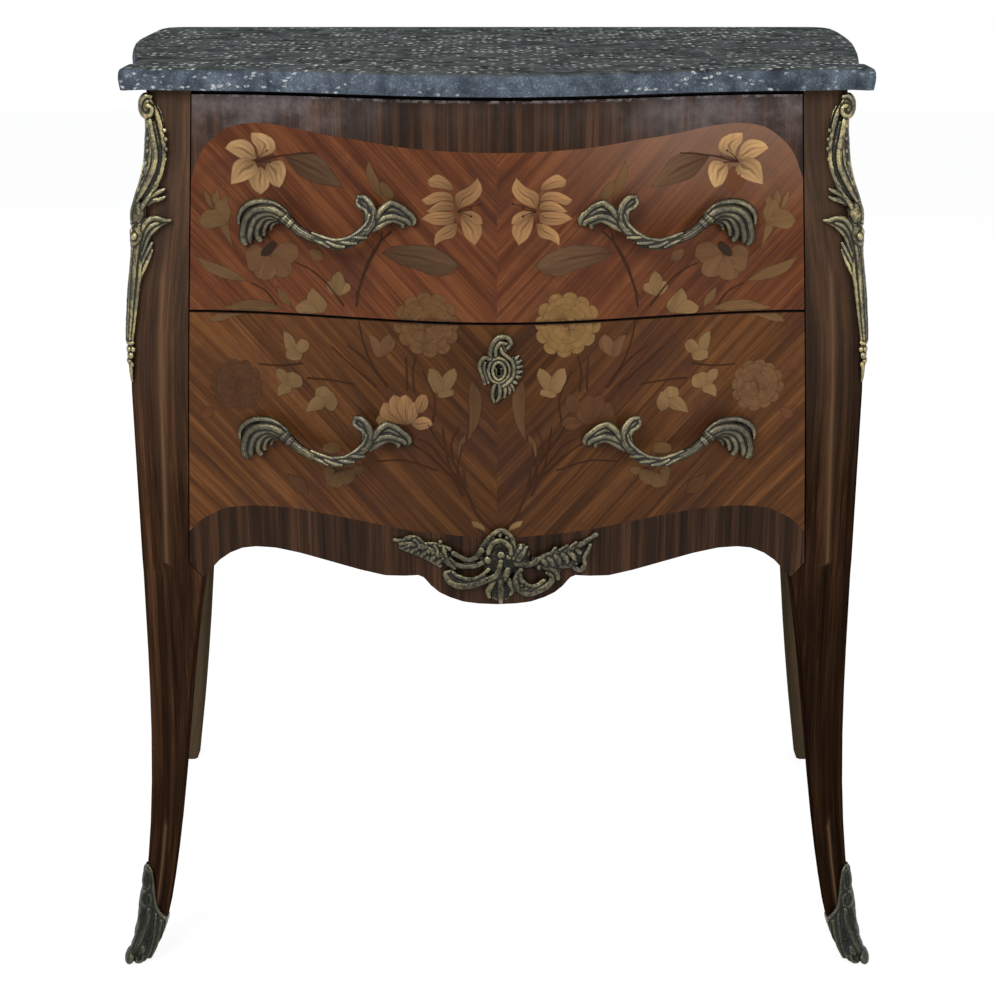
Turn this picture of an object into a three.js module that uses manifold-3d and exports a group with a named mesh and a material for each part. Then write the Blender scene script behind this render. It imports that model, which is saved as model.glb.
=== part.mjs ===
// A small serpentine commode on cabriole legs: two drawers whose fronts meet without a rail between
// them, swelling front and sides, a loose marble top, and cast brass handles, corner mounts and shoes.
// Millimetres. +X is right as seen from the front, the front faces -Y, and +Z is up. The origin is on
// the floor, under the middle of the marble's depth.

import * as THREE from 'three';
import { mergeVertices } from 'three/addons/utils/BufferGeometryUtils.js';
import Module from 'manifold-3d';

const wasm = await Module();
wasm.setup();

// Clearances
const seat = 0.3;             // between pieces that touch
const drawerGap = 1.2;        // shown round each drawer front
const railGap = 1.5;          // between a drawer front and the rail behind it
const overrun = 2;            // how far a cut runs past the face it opens

// Whole piece
const height = 800;
const marbleThickness = 17;
const marbleDepth = 457;      // from the foremost point of the bow to the back edge
const bow = 45;               // how far the serpentine swells in plan at the middle
const frontOverhang = 12;
const sideOverhang = 10;
const backOverhang = 6;
const shadowGap = 4;          // under the marble, above the upper drawer

// Body plan and swell
const openingTopHalf = 243;   // half the width of the drawer fronts at the top
const openingSpread = 21;     // how much further out their lower corners are
const stileWidth = 35;        // of a front stile, under the marble
const rearSpread = 46;        // how much further out the rear corners are than the front ones
const sideSwell = 27;         // how far the front corners swell out below the top
const rearSwell = 12;
const frontBelly = 8;         // how far the front swells forward
const bellyReturn = 5;        // and draws back again towards the apron
const swellDrop = 238;        // from the top down to the full swell

// Drawer fronts
const upperFrontHeight = 174.5;
const lowerFrontHeight = 241.8; // down to the tip of the apron
const archRise = 37;          // from the tip of the apron to the top of its arches
const frontThickness = 22;
const lipThickness = 10;      // the part of the front that covers the rail's edge

// Legs
const stileDepth = 40;
const rearStileDepth = 38;
const rearStileWidth = 28;
const ankleWidth = 24;
const ankleDepth = 25;
const rearAnkleWidth = 15;
const rearAnkleDepth = 22;
const footSplay = 28;         // how far a front foot sweeps out past its knee
const rearFootSplay = 14;
const toeReach = 20;          // how far a front foot sweeps forward
const shinHollow = 4;
const arrisRadius = 8;        // rounding of a stile's outer edge
const legRound = 3;           // rounding of the leg's inner edges below the body
const rearRound = 9;

// Panels and frame
const sidePanelThickness = 13;
const sideArch = 30;          // rise of the arch in a side's lower edge
const backThickness = 8;
const backDrop = 12;          // how far the back reaches below the lower rails
const railThickness = 14;
const topRailThickness = 18;
const backRailDepth = 22;
const runnerShelf = 16;       // width of the shelf that a drawer side runs on
const runnerFoot = 24;        // width of the part outside the drawer
const guideHeight = 28;
const bottomBoard = 6;

// Drawer boxes
const drawerSide = 12;        // thickness of the sides and back
const drawerInset = 5;        // from the edge of the opening in to a drawer's side
const sideDrop = 3;           // between a drawer side's top edge and the rail above it
const drawerBottom = 6;
const bottomRise = 8;         // from a side's lower edge to its groove
const grooveDepth = 5;
const backPlay = 4;           // behind a closed drawer

// Widths, levels and planes that follow from these
const openingLowHalf = openingTopHalf + openingSpread;
const frontHalf = openingTopHalf + stileWidth;
const rearHalf = frontHalf + rearSpread;
const rearInnerHalf = rearHalf - rearStileWidth;
const drawerHalf = openingTopHalf - drawerInset;
const bodyTop = height - marbleThickness;
const marbleBackY = marbleDepth / 2;
const earY = marbleBackY - marbleDepth + bow;
const bodyBackY = marbleBackY - backOverhang;
const stileFrontY = earY + frontOverhang;
const frontFrameY = stileFrontY + stileDepth;
const rearFrameY = bodyBackY - rearStileDepth;
const backRailY = bodyBackY - backThickness - seat - backRailDepth;
const drawersTop = bodyTop - shadowGap;
const splitZ = drawersTop - upperFrontHeight;
const lowerTop = splitZ - drawerGap;
const apronTip = lowerTop - lowerFrontHeight;
const middleRailTop = splitZ + railThickness / 2;
const middleRailBase = middleRailTop - railThickness;
const lowRailBase = apronTip + archRise;
const lowRailTop = lowRailBase + railThickness;
const topRailBase = bodyTop - seat - topRailThickness;

// The lower drawer's edge, from its middle outwards: shares of the half width, and of the arch's rise.
// The last two are the corner that meets the leg and the shoulder beside it.
const cornerShare = 0.958;
const cornerRiseShare = 0.19;
const shoulderRiseShare = 0.54;
const apronShares = [
  [0, 0], [0.06, 0.015], [0.106, 0.05], [0.151, 0.15], [0.183, 0.255], [0.21, 0.41], [0.2325, 0.595],
  [0.25, 0.64], [0.292, 0.6], [0.356, 0.57], [0.436, 0.65], [0.534, 0.784], [0.633, 0.92], [0.716, 1], [0.78, 1],
  [0.826, 0.946], [0.867, 0.81], [0.902, 0.62], [0.93, 0.38], [0.945, 0.24],
  [cornerShare, cornerRiseShare], [1, shoulderRiseShare],
];
const cornerZ = apronTip + archRise * cornerRiseShare;
const shoulderZ = apronTip + archRise * shoulderRiseShare;

const smooth = (s) => {
  const t = Math.min(1, Math.max(0, s));
  return t * t * (3 - 2 * t);
};
const mix = (a, b, t) => a + (b - a) * t;
const evenly = (count) => Array.from({ length: count + 1 }, (_, i) => i / count);
const spread = (count) => evenly(count).map((share) => 2 * share - 1);

// The faces that everything follows
const swell = (z) => smooth((bodyTop - z) / swellDrop);
const drawBack = (z) => smooth((bodyTop - swellDrop - z) / (bodyTop - swellDrop - apronTip));
const openingHalf = (z) => mix(openingTopHalf, openingLowHalf, (drawersTop - z) / (drawersTop - shoulderZ));
const endsY = (z) => stileFrontY - frontBelly * swell(z) + bellyReturn * drawBack(z);
const faceY = (x, z) => {
  const along = Math.min(1, Math.abs(x) / openingHalf(z));
  return endsY(z) - bow * Math.cos((Math.PI / 2) * along) ** 2;
};
const sideX = (y, z) => {
  const t = Math.min(1, Math.max(0, (y - stileFrontY) / (bodyBackY - stileFrontY)));
  return mix(frontHalf, rearHalf, Math.sin((Math.PI / 2) * t)) + mix(sideSwell, rearSwell, t) * swell(z);
};

// Geometry to solid and back. A piece turned inside out by a mirrored outline is turned right.
function closed(geometry) {
  const bare = geometry.clone();
  bare.deleteAttribute('normal');
  bare.deleteAttribute('uv');
  const merged = mergeVertices(bare, 1e-5);
  const p = merged.attributes.position;
  const index = merged.index.array;
  const a = new THREE.Vector3();
  const b = new THREE.Vector3();
  const c = new THREE.Vector3();
  let volume = 0;
  for (let i = 0; i < index.length; i += 3) {
    a.fromBufferAttribute(p, index[i]);
    b.fromBufferAttribute(p, index[i + 1]);
    c.fromBufferAttribute(p, index[i + 2]);
    volume += a.dot(b.cross(c));
  }
  if (volume < 0) index.reverse();
  return merged;
}

function solid(geometry) {
  const merged = closed(geometry);
  return new wasm.Manifold(new wasm.Mesh({
    numProp: 3,
    vertProperties: new Float32Array(merged.attributes.position.array),
    triVerts: new Uint32Array(merged.index.array),
  }));
}

function surface(body) {
  const mesh = body.getMesh();
  const geometry = new THREE.BufferGeometry();
  geometry.setAttribute('position', new THREE.BufferAttribute(new Float32Array(mesh.vertProperties), 3));
  geometry.setIndex(new THREE.BufferAttribute(new Uint32Array(mesh.triVerts), 1));
  return geometry;
}

const joined = (bodies) => bodies.reduce((whole, body) => whole.add(body));

function fromPoints(points, faces) {
  const geometry = new THREE.BufferGeometry();
  geometry.setAttribute('position', new THREE.Float32BufferAttribute(points.flat(), 3));
  geometry.setIndex(faces.flat());
  return geometry;
}

// A body through level rings of points, closed with a flat cap at each end
function loft(rings) {
  const count = rings[0].length;
  const faces = [];
  for (let r = 0; r + 1 < rings.length; r++) {
    for (let i = 0; i < count; i++) {
      const j = (i + 1) % count;
      const low = r * count;
      const high = low + count;
      faces.push([low + i, low + j, high + j], [low + i, high + j, high + i]);
    }
  }
  const flat = (ring) => ring.map(([x, y]) => new THREE.Vector2(x, y));
  const last = (rings.length - 1) * count;
  for (const [a, b, c] of THREE.ShapeUtils.triangulateShape(flat(rings[0]), [])) faces.push([c, b, a]);
  for (const [a, b, c] of THREE.ShapeUtils.triangulateShape(flat(rings.at(-1)), [])) {
    faces.push([last + a, last + b, last + c]);
  }
  return closed(fromPoints(rings.flat(), faces));
}

// A curved board between two faces that are given over the same columns and rows
function board(columns, rows, front, back) {
  const points = [];
  const faces = [];
  const at = (side, i, j) => side * columns.length * rows.length + i * rows.length + j;
  for (const face of [front, back]) {
    for (const u of columns) for (const v of rows) points.push(face(u, v));
  }
  const quad = (a, b, c, d) => faces.push([a, b, c], [a, c, d]);
  const lastI = columns.length - 1;
  const lastJ = rows.length - 1;
  for (let i = 0; i < lastI; i++) {
    for (let j = 0; j < lastJ; j++) {
      quad(at(0, i, j), at(0, i + 1, j), at(0, i + 1, j + 1), at(0, i, j + 1));
      quad(at(1, i, j), at(1, i, j + 1), at(1, i + 1, j + 1), at(1, i + 1, j));
    }
    quad(at(0, i, 0), at(1, i, 0), at(1, i + 1, 0), at(0, i + 1, 0));
    quad(at(0, i, lastJ), at(0, i + 1, lastJ), at(1, i + 1, lastJ), at(1, i, lastJ));
  }
  for (let j = 0; j < lastJ; j++) {
    quad(at(0, 0, j), at(0, 0, j + 1), at(1, 0, j + 1), at(1, 0, j));
    quad(at(0, lastI, j), at(1, lastI, j), at(1, lastI, j + 1), at(0, lastI, j + 1));
  }
  return closed(fromPoints(points, faces));
}

// An outline in plan, drawn upwards from a level
function raised(outline, base, thickness) {
  const shape = new THREE.Shape(outline.map(([x, y]) => new THREE.Vector2(x, y)));
  const geometry = new THREE.ExtrudeGeometry(shape, { depth: thickness, bevelEnabled: false, steps: 1 });
  return closed(geometry.translate(0, 0, base));
}

function block(x0, x1, y0, y1, z0, z1) {
  const box = new THREE.BoxGeometry(x1 - x0, y1 - y0, z1 - z0);
  return closed(box.translate((x0 + x1) / 2, (y0 + y1) / 2, (z0 + z1) / 2));
}

// A ring of points moved outwards along its own normals, or inwards by a negative amount
function inflate(ring, amount) {
  return ring.map(([x, y, z], i) => {
    const [ax, ay] = ring[(i + ring.length - 1) % ring.length];
    const [bx, by] = ring[(i + 1) % ring.length];
    const before = new THREE.Vector2(y - ay, ax - x).normalize();
    const after = new THREE.Vector2(by - y, x - bx).normalize();
    const normal = before.clone().add(after).normalize();
    const reach = amount / Math.max(0.6, normal.dot(after));
    return [x + normal.x * reach, y + normal.y * reach, z];
  });
}

// One limb of a casting: an oval rod on a smooth path, tapering to a closed tip at each end.
// Each row holds shares of the casting's half length, half height and relief, then of its girth
// across and through.
function limb(shares, size, girth, sides = 5, steps = 1) {
  const spine = new THREE.CatmullRomCurve3(
    shares.map(([a, b, c]) => new THREE.Vector3(a * size.x, b * size.y, c * size.z)),
  );
  const spans = shares.length - 1;
  const girthAt = (t, column) => {
    const place = Math.min(spans - 1e-6, t * spans);
    const i = Math.floor(place);
    return mix(shares[i][column], shares[i + 1][column], place - i) * girth;
  };
  const points = [];
  const faces = [];
  const last = spans * steps;
  const outward = new THREE.Vector3(0, 0, 1);
  for (let r = 0; r <= last; r++) {
    const t = Math.min(1 - 0.3 / last, Math.max(0.3 / last, r / last));
    const centre = spine.getPoint(t);
    const along = spine.getTangent(t);
    const across = new THREE.Vector3().crossVectors(along, outward).normalize();
    const through = new THREE.Vector3().crossVectors(across, along);
    for (let i = 0; i < sides; i++) {
      const turn = (2 * Math.PI * (i + 0.5)) / sides;
      const point = centre.clone()
        .addScaledVector(across, (Math.cos(turn) * girthAt(t, 3)) / 2)
        .addScaledVector(through, (Math.sin(turn) * girthAt(t, 4)) / 2);
      points.push(point.toArray());
    }
  }
  for (let r = 0; r < last; r++) {
    for (let i = 0; i < sides; i++) {
      const j = (i + 1) % sides;
      const low = r * sides;
      const high = low + sides;
      faces.push([low + i, low + j, high + j], [low + i, high + j, high + i]);
    }
  }
  const tips = [spine.getPoint(0).toArray(), spine.getPoint(1).toArray()];
  points.push(...tips);
  for (let i = 0; i < sides; i++) {
    const j = (i + 1) % sides;
    faces.push([points.length - 2, j, i], [points.length - 1, last * sides + i, last * sides + j]);
  }
  return solid(fromPoints(points, faces));
}

// A flat casting is cut level behind, then laid on the surface that carries it
function laid(body, size, place) {
  const under = block(-2 * size.x, 2 * size.x, -2 * size.y, 2 * size.y, -4 * size.z, 0);
  const geometry = surface(body.subtract(solid(under)));
  const p = geometry.attributes.position;
  for (let i = 0; i < p.count; i++) p.setXYZ(i, ...place(p.getX(i), p.getY(i), p.getZ(i)));
  return closed(geometry);
}

const rod = (radius, from, to, sides = 8) => {
  const geometry = new THREE.CylinderGeometry(radius, radius, to - from, sides);
  return geometry.rotateX(Math.PI / 2).translate(0, 0, (from + to) / 2);
};

// Materials
function finish(color, roughness, metalness) {
  return new THREE.MeshStandardMaterial({ color, roughness, metalness });
}

const marble = finish(0x33383b, 0.35, 0);
const veneer = finish(0x8a4a26, 0.4, 0);
const darkVeneer = finish(0x4a2c1c, 0.4, 0);
const plainWood = finish(0xa8835a, 0.7, 0);
const brass = finish(0x8d8458, 0.4, 0.9);
const steel = finish(0x77756f, 0.45, 0.9);

const commode = new THREE.Group();

function add(name, geometry, material, parent = commode) {
  const mesh = new THREE.Mesh(geometry, material);
  mesh.name = name;
  parent.add(mesh);
  return mesh;
}

// A piece made for the right side, and its mirror image on the left
function addPair(name, geometry, material) {
  add(`right_${name}`, geometry, material);
  add(`left_${name}`, geometry, material).scale.x = -1;
}

// Marble top: serpentine in front, with an ear over each front corner, sides that widen towards
// the back and rounded rear corners, above a moulded edge
const earRecess = 5;          // how far the front edge dips back before the ear
const earWidth = 18;
const earLength = 44;
const earStep = 5;            // how far the side steps in behind the ear
const earRound = 7;
const rearCornerWidth = 26;
const rearCornerDepth = 60;
const mouldingDepth = 3.5;
// Shares of the thickness from below, and of the moulding's depth
const mouldingShares = [[0, 1], [0.2, 0.9], [0.42, 0.3], [0.58, 0], [0.8, 0.12], [0.93, 0.45], [1, 1]];

function marbleOutline() {
  const half = [];
  const bowSteps = 14;
  for (let i = 0; i <= bowSteps; i++) {
    const x = (openingTopHalf * i) / bowSteps;
    half.push([x, earY - bow * Math.cos((Math.PI / 2) * (i / bowSteps)) ** 2]);
  }
  const earX = frontHalf + sideOverhang + frontOverhang;
  const innerEarX = earX - earWidth;
  half.push([mix(openingTopHalf, innerEarX, 0.55), earY + earRecess * 0.7]);
  half.push([innerEarX, earY + earRecess]);
  const quarter = 4;
  for (let i = 0; i <= quarter; i++) {
    const turn = (Math.PI / 2) * (i / quarter);
    half.push([earX - earRound * (1 - Math.sin(turn)), earY + earRound * (1 - Math.cos(turn))]);
  }
  const stepY = earY + earLength;
  half.push([earX, stepY - earRound], [earX - earStep * 0.3, stepY - earRound * 0.3]);
  const edgeX = (y) => sideX(y, bodyTop) + sideOverhang;
  half.push([edgeX(stepY + earStep) - earStep * 0.2, stepY]);
  const sideSteps = 8;
  const cornerY = marbleBackY - rearCornerDepth;
  for (let i = 1; i <= sideSteps; i++) {
    const y = mix(stepY + earStep, cornerY, i / sideSteps);
    half.push([edgeX(y), y]);
  }
  const cornerSteps = 6;
  const cornerX = edgeX(cornerY) - rearCornerWidth;
  for (let i = 1; i <= cornerSteps; i++) {
    const turn = (Math.PI / 2) * (i / cornerSteps);
    half.push([cornerX + rearCornerWidth * Math.cos(turn), cornerY + rearCornerDepth * Math.sin(turn)]);
  }
  const mirrored = half.slice(1).reverse().map(([x, y]) => [-x, y]);
  return [...half, ...mirrored];
}

function marbleTop() {
  const outline = marbleOutline();
  return loft(mouldingShares.map(([level, inset]) => inflate(
    outline.map(([x, y]) => [x, y, bodyTop + level * marbleThickness]),
    -inset * mouldingDepth,
  )));
}

add('marble_top', marbleTop(), marble);

// Legs: each is one piece with the stile above it. A front leg has a shoulder under the corner of
// the lower drawer, then tapers, sweeps out and forward, and ends inside its shoe.
const kneeZ = cornerZ - drawerGap / 2;
const soleThickness = 3;
const sweepPower = 3.3;       // how late the foot turns out
const taperPower = 2.6;       // how soon the knee narrows
const rearTaperPower = 1.4;
const depthPower = 1.5;
const ridgeShare = 0.45;      // where the stile's face turns, from its inner edge
const cantAngle = 0.22;       // radians that it turns back by
const roundedShare = 0.85;    // of the knee's height, below which the inner edges are rounded

const legShare = (z) => Math.min(1, Math.max(0, z / kneeZ));
const sweep = (z) => (1 - legShare(z)) ** sweepPower;
const legFrontY = (z) => endsY(Math.max(z, apronTip))
  + shinHollow * Math.sin(Math.PI * legShare(z)) - toeReach * sweep(z);
const outerX = (y, z) => sideX(y, z) + footSplay * sweep(z);
const rearOuterX = (y, z) => sideX(y, z) + rearFootSplay * sweep(z);
const innerRound = (z) => mix(legRound, seat, smooth((z / kneeZ - roundedShare) / (1 - roundedShare)));

function innerX(z) {
  if (z >= shoulderZ) return openingHalf(z) + drawerGap;
  const kneeX = cornerShare * openingHalf(cornerZ) + drawerGap / 2;
  if (z >= kneeZ) return mix(kneeX, openingHalf(shoulderZ) + drawerGap, (z - kneeZ) / (shoulderZ - kneeZ));
  const kneeWidth = outerX(legFrontY(kneeZ), kneeZ) - kneeX;
  return outerX(legFrontY(z), z) - mix(ankleWidth, kneeWidth, legShare(z) ** taperPower);
}

// The rounded outer edge of a front leg at one level: its centre, and where the face turns back
function arris(z) {
  const frontY = legFrontY(z);
  const x = outerX(frontY + 2 * arrisRadius, z);
  const inner = innerX(z);
  const ridgeX = mix(inner, x, ridgeShare);
  const tangentX = x - arrisRadius + arrisRadius * Math.sin(cantAngle);
  const y = frontY + Math.tan(cantAngle) * (tangentX - ridgeX) + arrisRadius * Math.cos(cantAngle);
  return { x: x - arrisRadius, y, frontY, inner, ridgeX };
}

function frontLegRing(z) {
  const edge = arris(z);
  const ring = [[edge.inner, edge.frontY], [edge.ridgeX, edge.frontY]];
  const turns = 4;
  for (let i = 0; i <= turns; i++) {
    const turn = mix(cantAngle - Math.PI / 2, 0, i / turns);
    ring.push([edge.x + arrisRadius * Math.cos(turn), edge.y + arrisRadius * Math.sin(turn)]);
  }
  const backY = z >= kneeZ ? frontFrameY
    : legFrontY(z) + mix(ankleDepth, frontFrameY - legFrontY(kneeZ), legShare(z) ** depthPower);
  const round = innerRound(z);
  const outer = outerX(backY, z);
  ring.push([outer, backY - round], [outer - round, backY]);
  ring.push([edge.inner + round, backY], [edge.inner, backY - round]);
  return ring.map(([x, y]) => [x, y, z]);
}

function rearLegRing(z) {
  const depth = z >= kneeZ ? rearStileDepth
    : mix(rearAnkleDepth, rearStileDepth, legShare(z) ** depthPower);
  const frontY = bodyBackY - depth;
  const kneeWidth = rearOuterX(rearFrameY, kneeZ) - rearInnerHalf;
  const outer = rearOuterX(mix(frontY, bodyBackY, 0.5), z);
  const inner = z >= kneeZ ? rearInnerHalf
    : outer - mix(rearAnkleWidth, kneeWidth, legShare(z) ** rearTaperPower);
  const round = innerRound(z);
  const corner = Math.min(rearRound, (outer - inner) / 3);
  const ring = [
    [inner, frontY + round], [inner + round, frontY],
    [rearOuterX(frontY, z) - round, frontY], [rearOuterX(frontY, z), frontY + round],
    [outer, bodyBackY - corner], [outer - corner * 0.3, bodyBackY - corner * 0.3],
    [outer - corner, bodyBackY], [inner, bodyBackY],
  ];
  return ring.map(([x, y]) => [x, y, z]);
}

// Ring levels below the knee and above the shoulder, as shares
const lowerLegShares = [0, 0.03, 0.07, 0.12, 0.18, 0.25, 0.34, 0.45, 0.58, 0.7, 0.8, 0.9, 0.96, 1];
const stileShares = [0, 0.12, 0.25, 0.38, 0.5, 0.62, 0.75, 0.88, 1];

const legLevels = (base) => [
  ...lowerLegShares.map((share) => mix(base, kneeZ, share)),
  ...stileShares.map((share) => mix(shoulderZ, bodyTop - seat, share)),
];
const leg = (ringAt, base) => loft(legLevels(base).map(ringAt));

const frontLegBase = soleThickness + seat;
const frontLeg = leg(frontLegRing, frontLegBase);
add('front_right_leg', frontLeg, darkVeneer);
add('front_left_leg', frontLeg, darkVeneer).scale.x = -1;
const rearLeg = leg(rearLegRing, 0);
add('rear_right_leg', rearLeg, darkVeneer);
add('rear_left_leg', rearLeg, darkVeneer).scale.x = -1;

// Sides: swelling panels between the stiles, with an arched lower edge. The back is a flat board.
function sidePanel() {
  const face = (inset) => (u, v) => {
    const y = mix(frontFrameY + seat, rearFrameY - seat, u);
    const base = kneeZ + sideArch * Math.sin(Math.PI * u) ** 2;
    const z = mix(base, bodyTop - seat, v);
    return [sideX(y, z) - inset, y, z];
  };
  return board(evenly(12), evenly(9), face(sidePanelThickness), face(0));
}

addPair('side_panel', sidePanel(), darkVeneer);
const backHalf = rearInnerHalf - seat;
const backBase = lowRailBase - backDrop;
const backBoard = block(-backHalf, backHalf, bodyBackY - backThickness, bodyBackY, backBase, bodyTop - seat);
add('back_panel', backBoard, plainWood);

// Rails behind the drawer fronts. Each follows the serpentine and stops short of the front.
function serpentine(z, inset, halfWidth, backY) {
  const outline = [];
  for (const share of evenly(24)) {
    const x = mix(-halfWidth, halfWidth, share);
    outline.push([x, faceY(x, z) + inset]);
  }
  outline.push([halfWidth, backY], [-halfWidth, backY]);
  return outline;
}

const stileInner = (z) => innerX(z) - seat;
const boltWidth = 24;
const boltThickness = 5;
const boltThrow = 8;
const boltPlay = 0.4;
const boltY = faceY(0, lowerTop) + frontThickness - lipThickness / 2 - boltPlay;

function frontRail(base, thickness, inset) {
  const top = base + thickness;
  const plan = serpentine(base + thickness / 2, inset, stileInner(top), frontFrameY);
  return raised(plan, base, thickness);
}

const lippedInset = lipThickness + railGap;
add('top_front_rail', frontRail(topRailBase, topRailThickness, lippedInset), plainWood);

// The middle rail is cut from below where the lock's bolt shoots into it
function middleRail() {
  const pocket = block(
    -boltWidth / 2 - boltPlay, boltWidth / 2 + boltPlay,
    boltY - boltThickness / 2 - boltPlay, boltY + boltThickness / 2 + boltPlay,
    middleRailBase - overrun, middleRailBase + boltThrow + boltPlay,
  );
  return surface(solid(frontRail(middleRailBase, railThickness, lippedInset)).subtract(solid(pocket)));
}

add('middle_front_rail', middleRail(), plainWood);
add('low_front_rail', frontRail(lowRailBase, railThickness, frontThickness + railGap), plainWood);

// Back rails, and the kickers, runners and dust board that join front to back
const backRailEnd = backRailY + backRailDepth;

function backRail(base, thickness) {
  return block(-backHalf, backHalf, backRailY, backRailEnd, base, base + thickness);
}

add('top_back_rail', backRail(topRailBase, topRailThickness), plainWood);
add('middle_back_rail', backRail(middleRailBase, railThickness), plainWood);
add('low_back_rail', backRail(lowRailBase, railThickness), plainWood);

const runnerStart = frontFrameY + seat;
const runnerEnd = backRailY - seat;
const runnerInner = drawerHalf - runnerShelf;
const guideX = drawerHalf + drawerGap;
const runnerOuter = guideX + runnerFoot;
const kicker = block(runnerInner, runnerOuter, runnerStart, runnerEnd, topRailBase, bodyTop - seat);
addPair('kicker', kicker, plainWood);

// A runner's section: a shelf for the drawer's side, and a guide that keeps the drawer straight
function runner(base) {
  const top = base + railThickness;
  const section = new THREE.Shape([
    new THREE.Vector2(runnerInner, base), new THREE.Vector2(runnerOuter, base),
    new THREE.Vector2(runnerOuter, top + guideHeight), new THREE.Vector2(guideX, top + guideHeight),
    new THREE.Vector2(guideX, top), new THREE.Vector2(runnerInner, top),
  ]);
  const length = runnerEnd - runnerStart;
  const geometry = new THREE.ExtrudeGeometry(section, { depth: length, bevelEnabled: false, steps: 1 });
  return closed(geometry.rotateX(Math.PI / 2).translate(0, runnerEnd, 0));
}

addPair('middle_runner', runner(middleRailBase), plainWood);
addPair('low_runner', runner(lowRailBase), plainWood);
const dustHalf = runnerInner - seat;
const dustBase = lowRailBase + (railThickness - bottomBoard) / 2;
const dustBoard = block(-dustHalf, dustHalf, runnerStart, runnerEnd, dustBase, dustBase + bottomBoard);
add('dust_board', dustBoard, plainWood);

// Handles: where they sit, and the frame of each on the curved front
const handleHalfLength = 71.5;
const handleHalfHeight = 20;
const handleReach = 22;
const handleGirth = 8;
const postRadius = 4;
const shankRadius = 2;
const shankPlay = 0.35;
const nutRadius = 5;
const nutThickness = 4;
const seatPlay = 0.6;         // under a flat shoulder on the curved front
const postShare = 0.74;       // along the half length
const postHeightShare = 0.35;
const postReach = postShare * handleHalfLength;
const postTopShare = 0.6;     // of the handle's reach
const upperHandleShare = 0.5556;  // of the half width of the fronts, from the middle out
const upperHandleDrop = 94;   // below the top of its drawer
const lowerHandleShare = 0.5341;
const lowerHandleDrop = 98.5;

function handleFrame(x, z) {
  const inner = new THREE.Vector3(x - postReach, faceY(x - postReach, z), z);
  const outer = new THREE.Vector3(x + postReach, faceY(x + postReach, z), z);
  const along = outer.clone().sub(inner).normalize();
  const slope = (faceY(x, z + handleHalfHeight) - faceY(x, z - handleHalfHeight)) / (2 * handleHalfHeight);
  const rough = new THREE.Vector3(0, slope, 1).normalize();
  const outward = new THREE.Vector3().crossVectors(along, rough).normalize();
  const up = new THREE.Vector3().crossVectors(outward, along).normalize();
  const origin = inner.add(outer).multiplyScalar(0.5);
  return new THREE.Matrix4().makeBasis(along, up, outward).setPosition(origin);
}

const upperHandle = handleFrame(upperHandleShare * openingTopHalf, drawersTop - upperHandleDrop);
const lowerHandle = handleFrame(lowerHandleShare * openingLowHalf, lowerTop - lowerHandleDrop);
const mirrorX = new THREE.Matrix4().makeScale(-1, 1, 1);
const postPlaces = [-1, 1].map((end) => [end * postReach, postHeightShare * handleHalfHeight]);

// How far a face of the front, by its depth in the board, lies behind a place in a handle's frame
function depthAt(frame, [u, v], inBoard) {
  const passes = 6;
  let depth = inBoard;
  for (let i = 0; i < passes; i++) {
    const point = new THREE.Vector3(u, v, -depth).applyMatrix4(frame);
    depth += (faceY(point.x, point.z) + inBoard - point.y) * Math.abs(frame.elements[9]);
  }
  return depth;
}

function shankBores(frame) {
  const bores = [];
  for (const side of [new THREE.Matrix4(), mirrorX]) {
    for (const [u, v] of postPlaces) {
      const bore = rod(shankRadius + shankPlay, -frontThickness - overrun, handleHalfHeight);
      bores.push(solid(bore.translate(u, v, 0).applyMatrix4(frame).applyMatrix4(side)));
    }
  }
  return joined(bores);
}

// Drawer fronts: thick serpentine boards. A lip hides the rails, and the lower front carries the apron.
function frontBoard(columns, rows, levelAt) {
  const face = (inset) => (u, v) => {
    const z = levelAt(u, v);
    const x = u * openingHalf(z);
    return [x, faceY(x, z) + inset, z];
  };
  return solid(board(columns, rows, face(0), face(frontThickness)));
}

function rebate(base, top) {
  const face = (inset) => (u, v) => {
    const z = mix(base, top, v);
    const x = u * (openingHalf(z) + overrun);
    return [x, faceY(x, z) + inset, z];
  };
  return solid(board(spread(24), [0, 1], face(lipThickness), face(frontThickness + overrun)));
}

const upperShelfZ = middleRailTop + drawerGap;
const upperShoulder = topRailBase - drawerGap;
const lowerShoulder = middleRailBase - drawerGap;

function upperFront() {
  const front = frontBoard(spread(24), evenly(3), (u, v) => mix(splitZ, drawersTop, v));
  return surface(front
    .subtract(rebate(splitZ - overrun, upperShelfZ))
    .subtract(rebate(upperShoulder, drawersTop + overrun))
    .subtract(shankBores(upperHandle)));
}

add('upper_drawer_front', upperFront(), veneer);

// Lock: a case let into the lower front from behind, with its bolt and a hole for the key
const caseWidth = 60;
const caseHeight = 44;
const caseThickness = frontThickness - lipThickness - drawerGap;
const keyDrop = 35;           // from the top of the lower front to the middle of the keyhole
const keyRadius = 2.2;
const keySlot = 2.6;
const keyLength = 9;
const caseTop = lowerShoulder;
const caseBackY = faceY(caseWidth / 2, lowerShoulder) + frontThickness - drawerGap;
const caseFrontY = caseBackY - caseThickness;
const keyZ = lowerTop - keyDrop;
const boltHeight = 30;
const boltFloor = caseTop - boltHeight - boltPlay;

function keyhole(fromY, toY) {
  const round = new THREE.CylinderGeometry(keyRadius, keyRadius, toY - fromY, 10);
  const hole = solid(round.translate(0, (fromY + toY) / 2, keyZ));
  const slot = block(-keySlot / 2, keySlot / 2, fromY, toY, keyZ + keyRadius - keyLength, keyZ);
  return hole.add(solid(slot));
}

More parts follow.
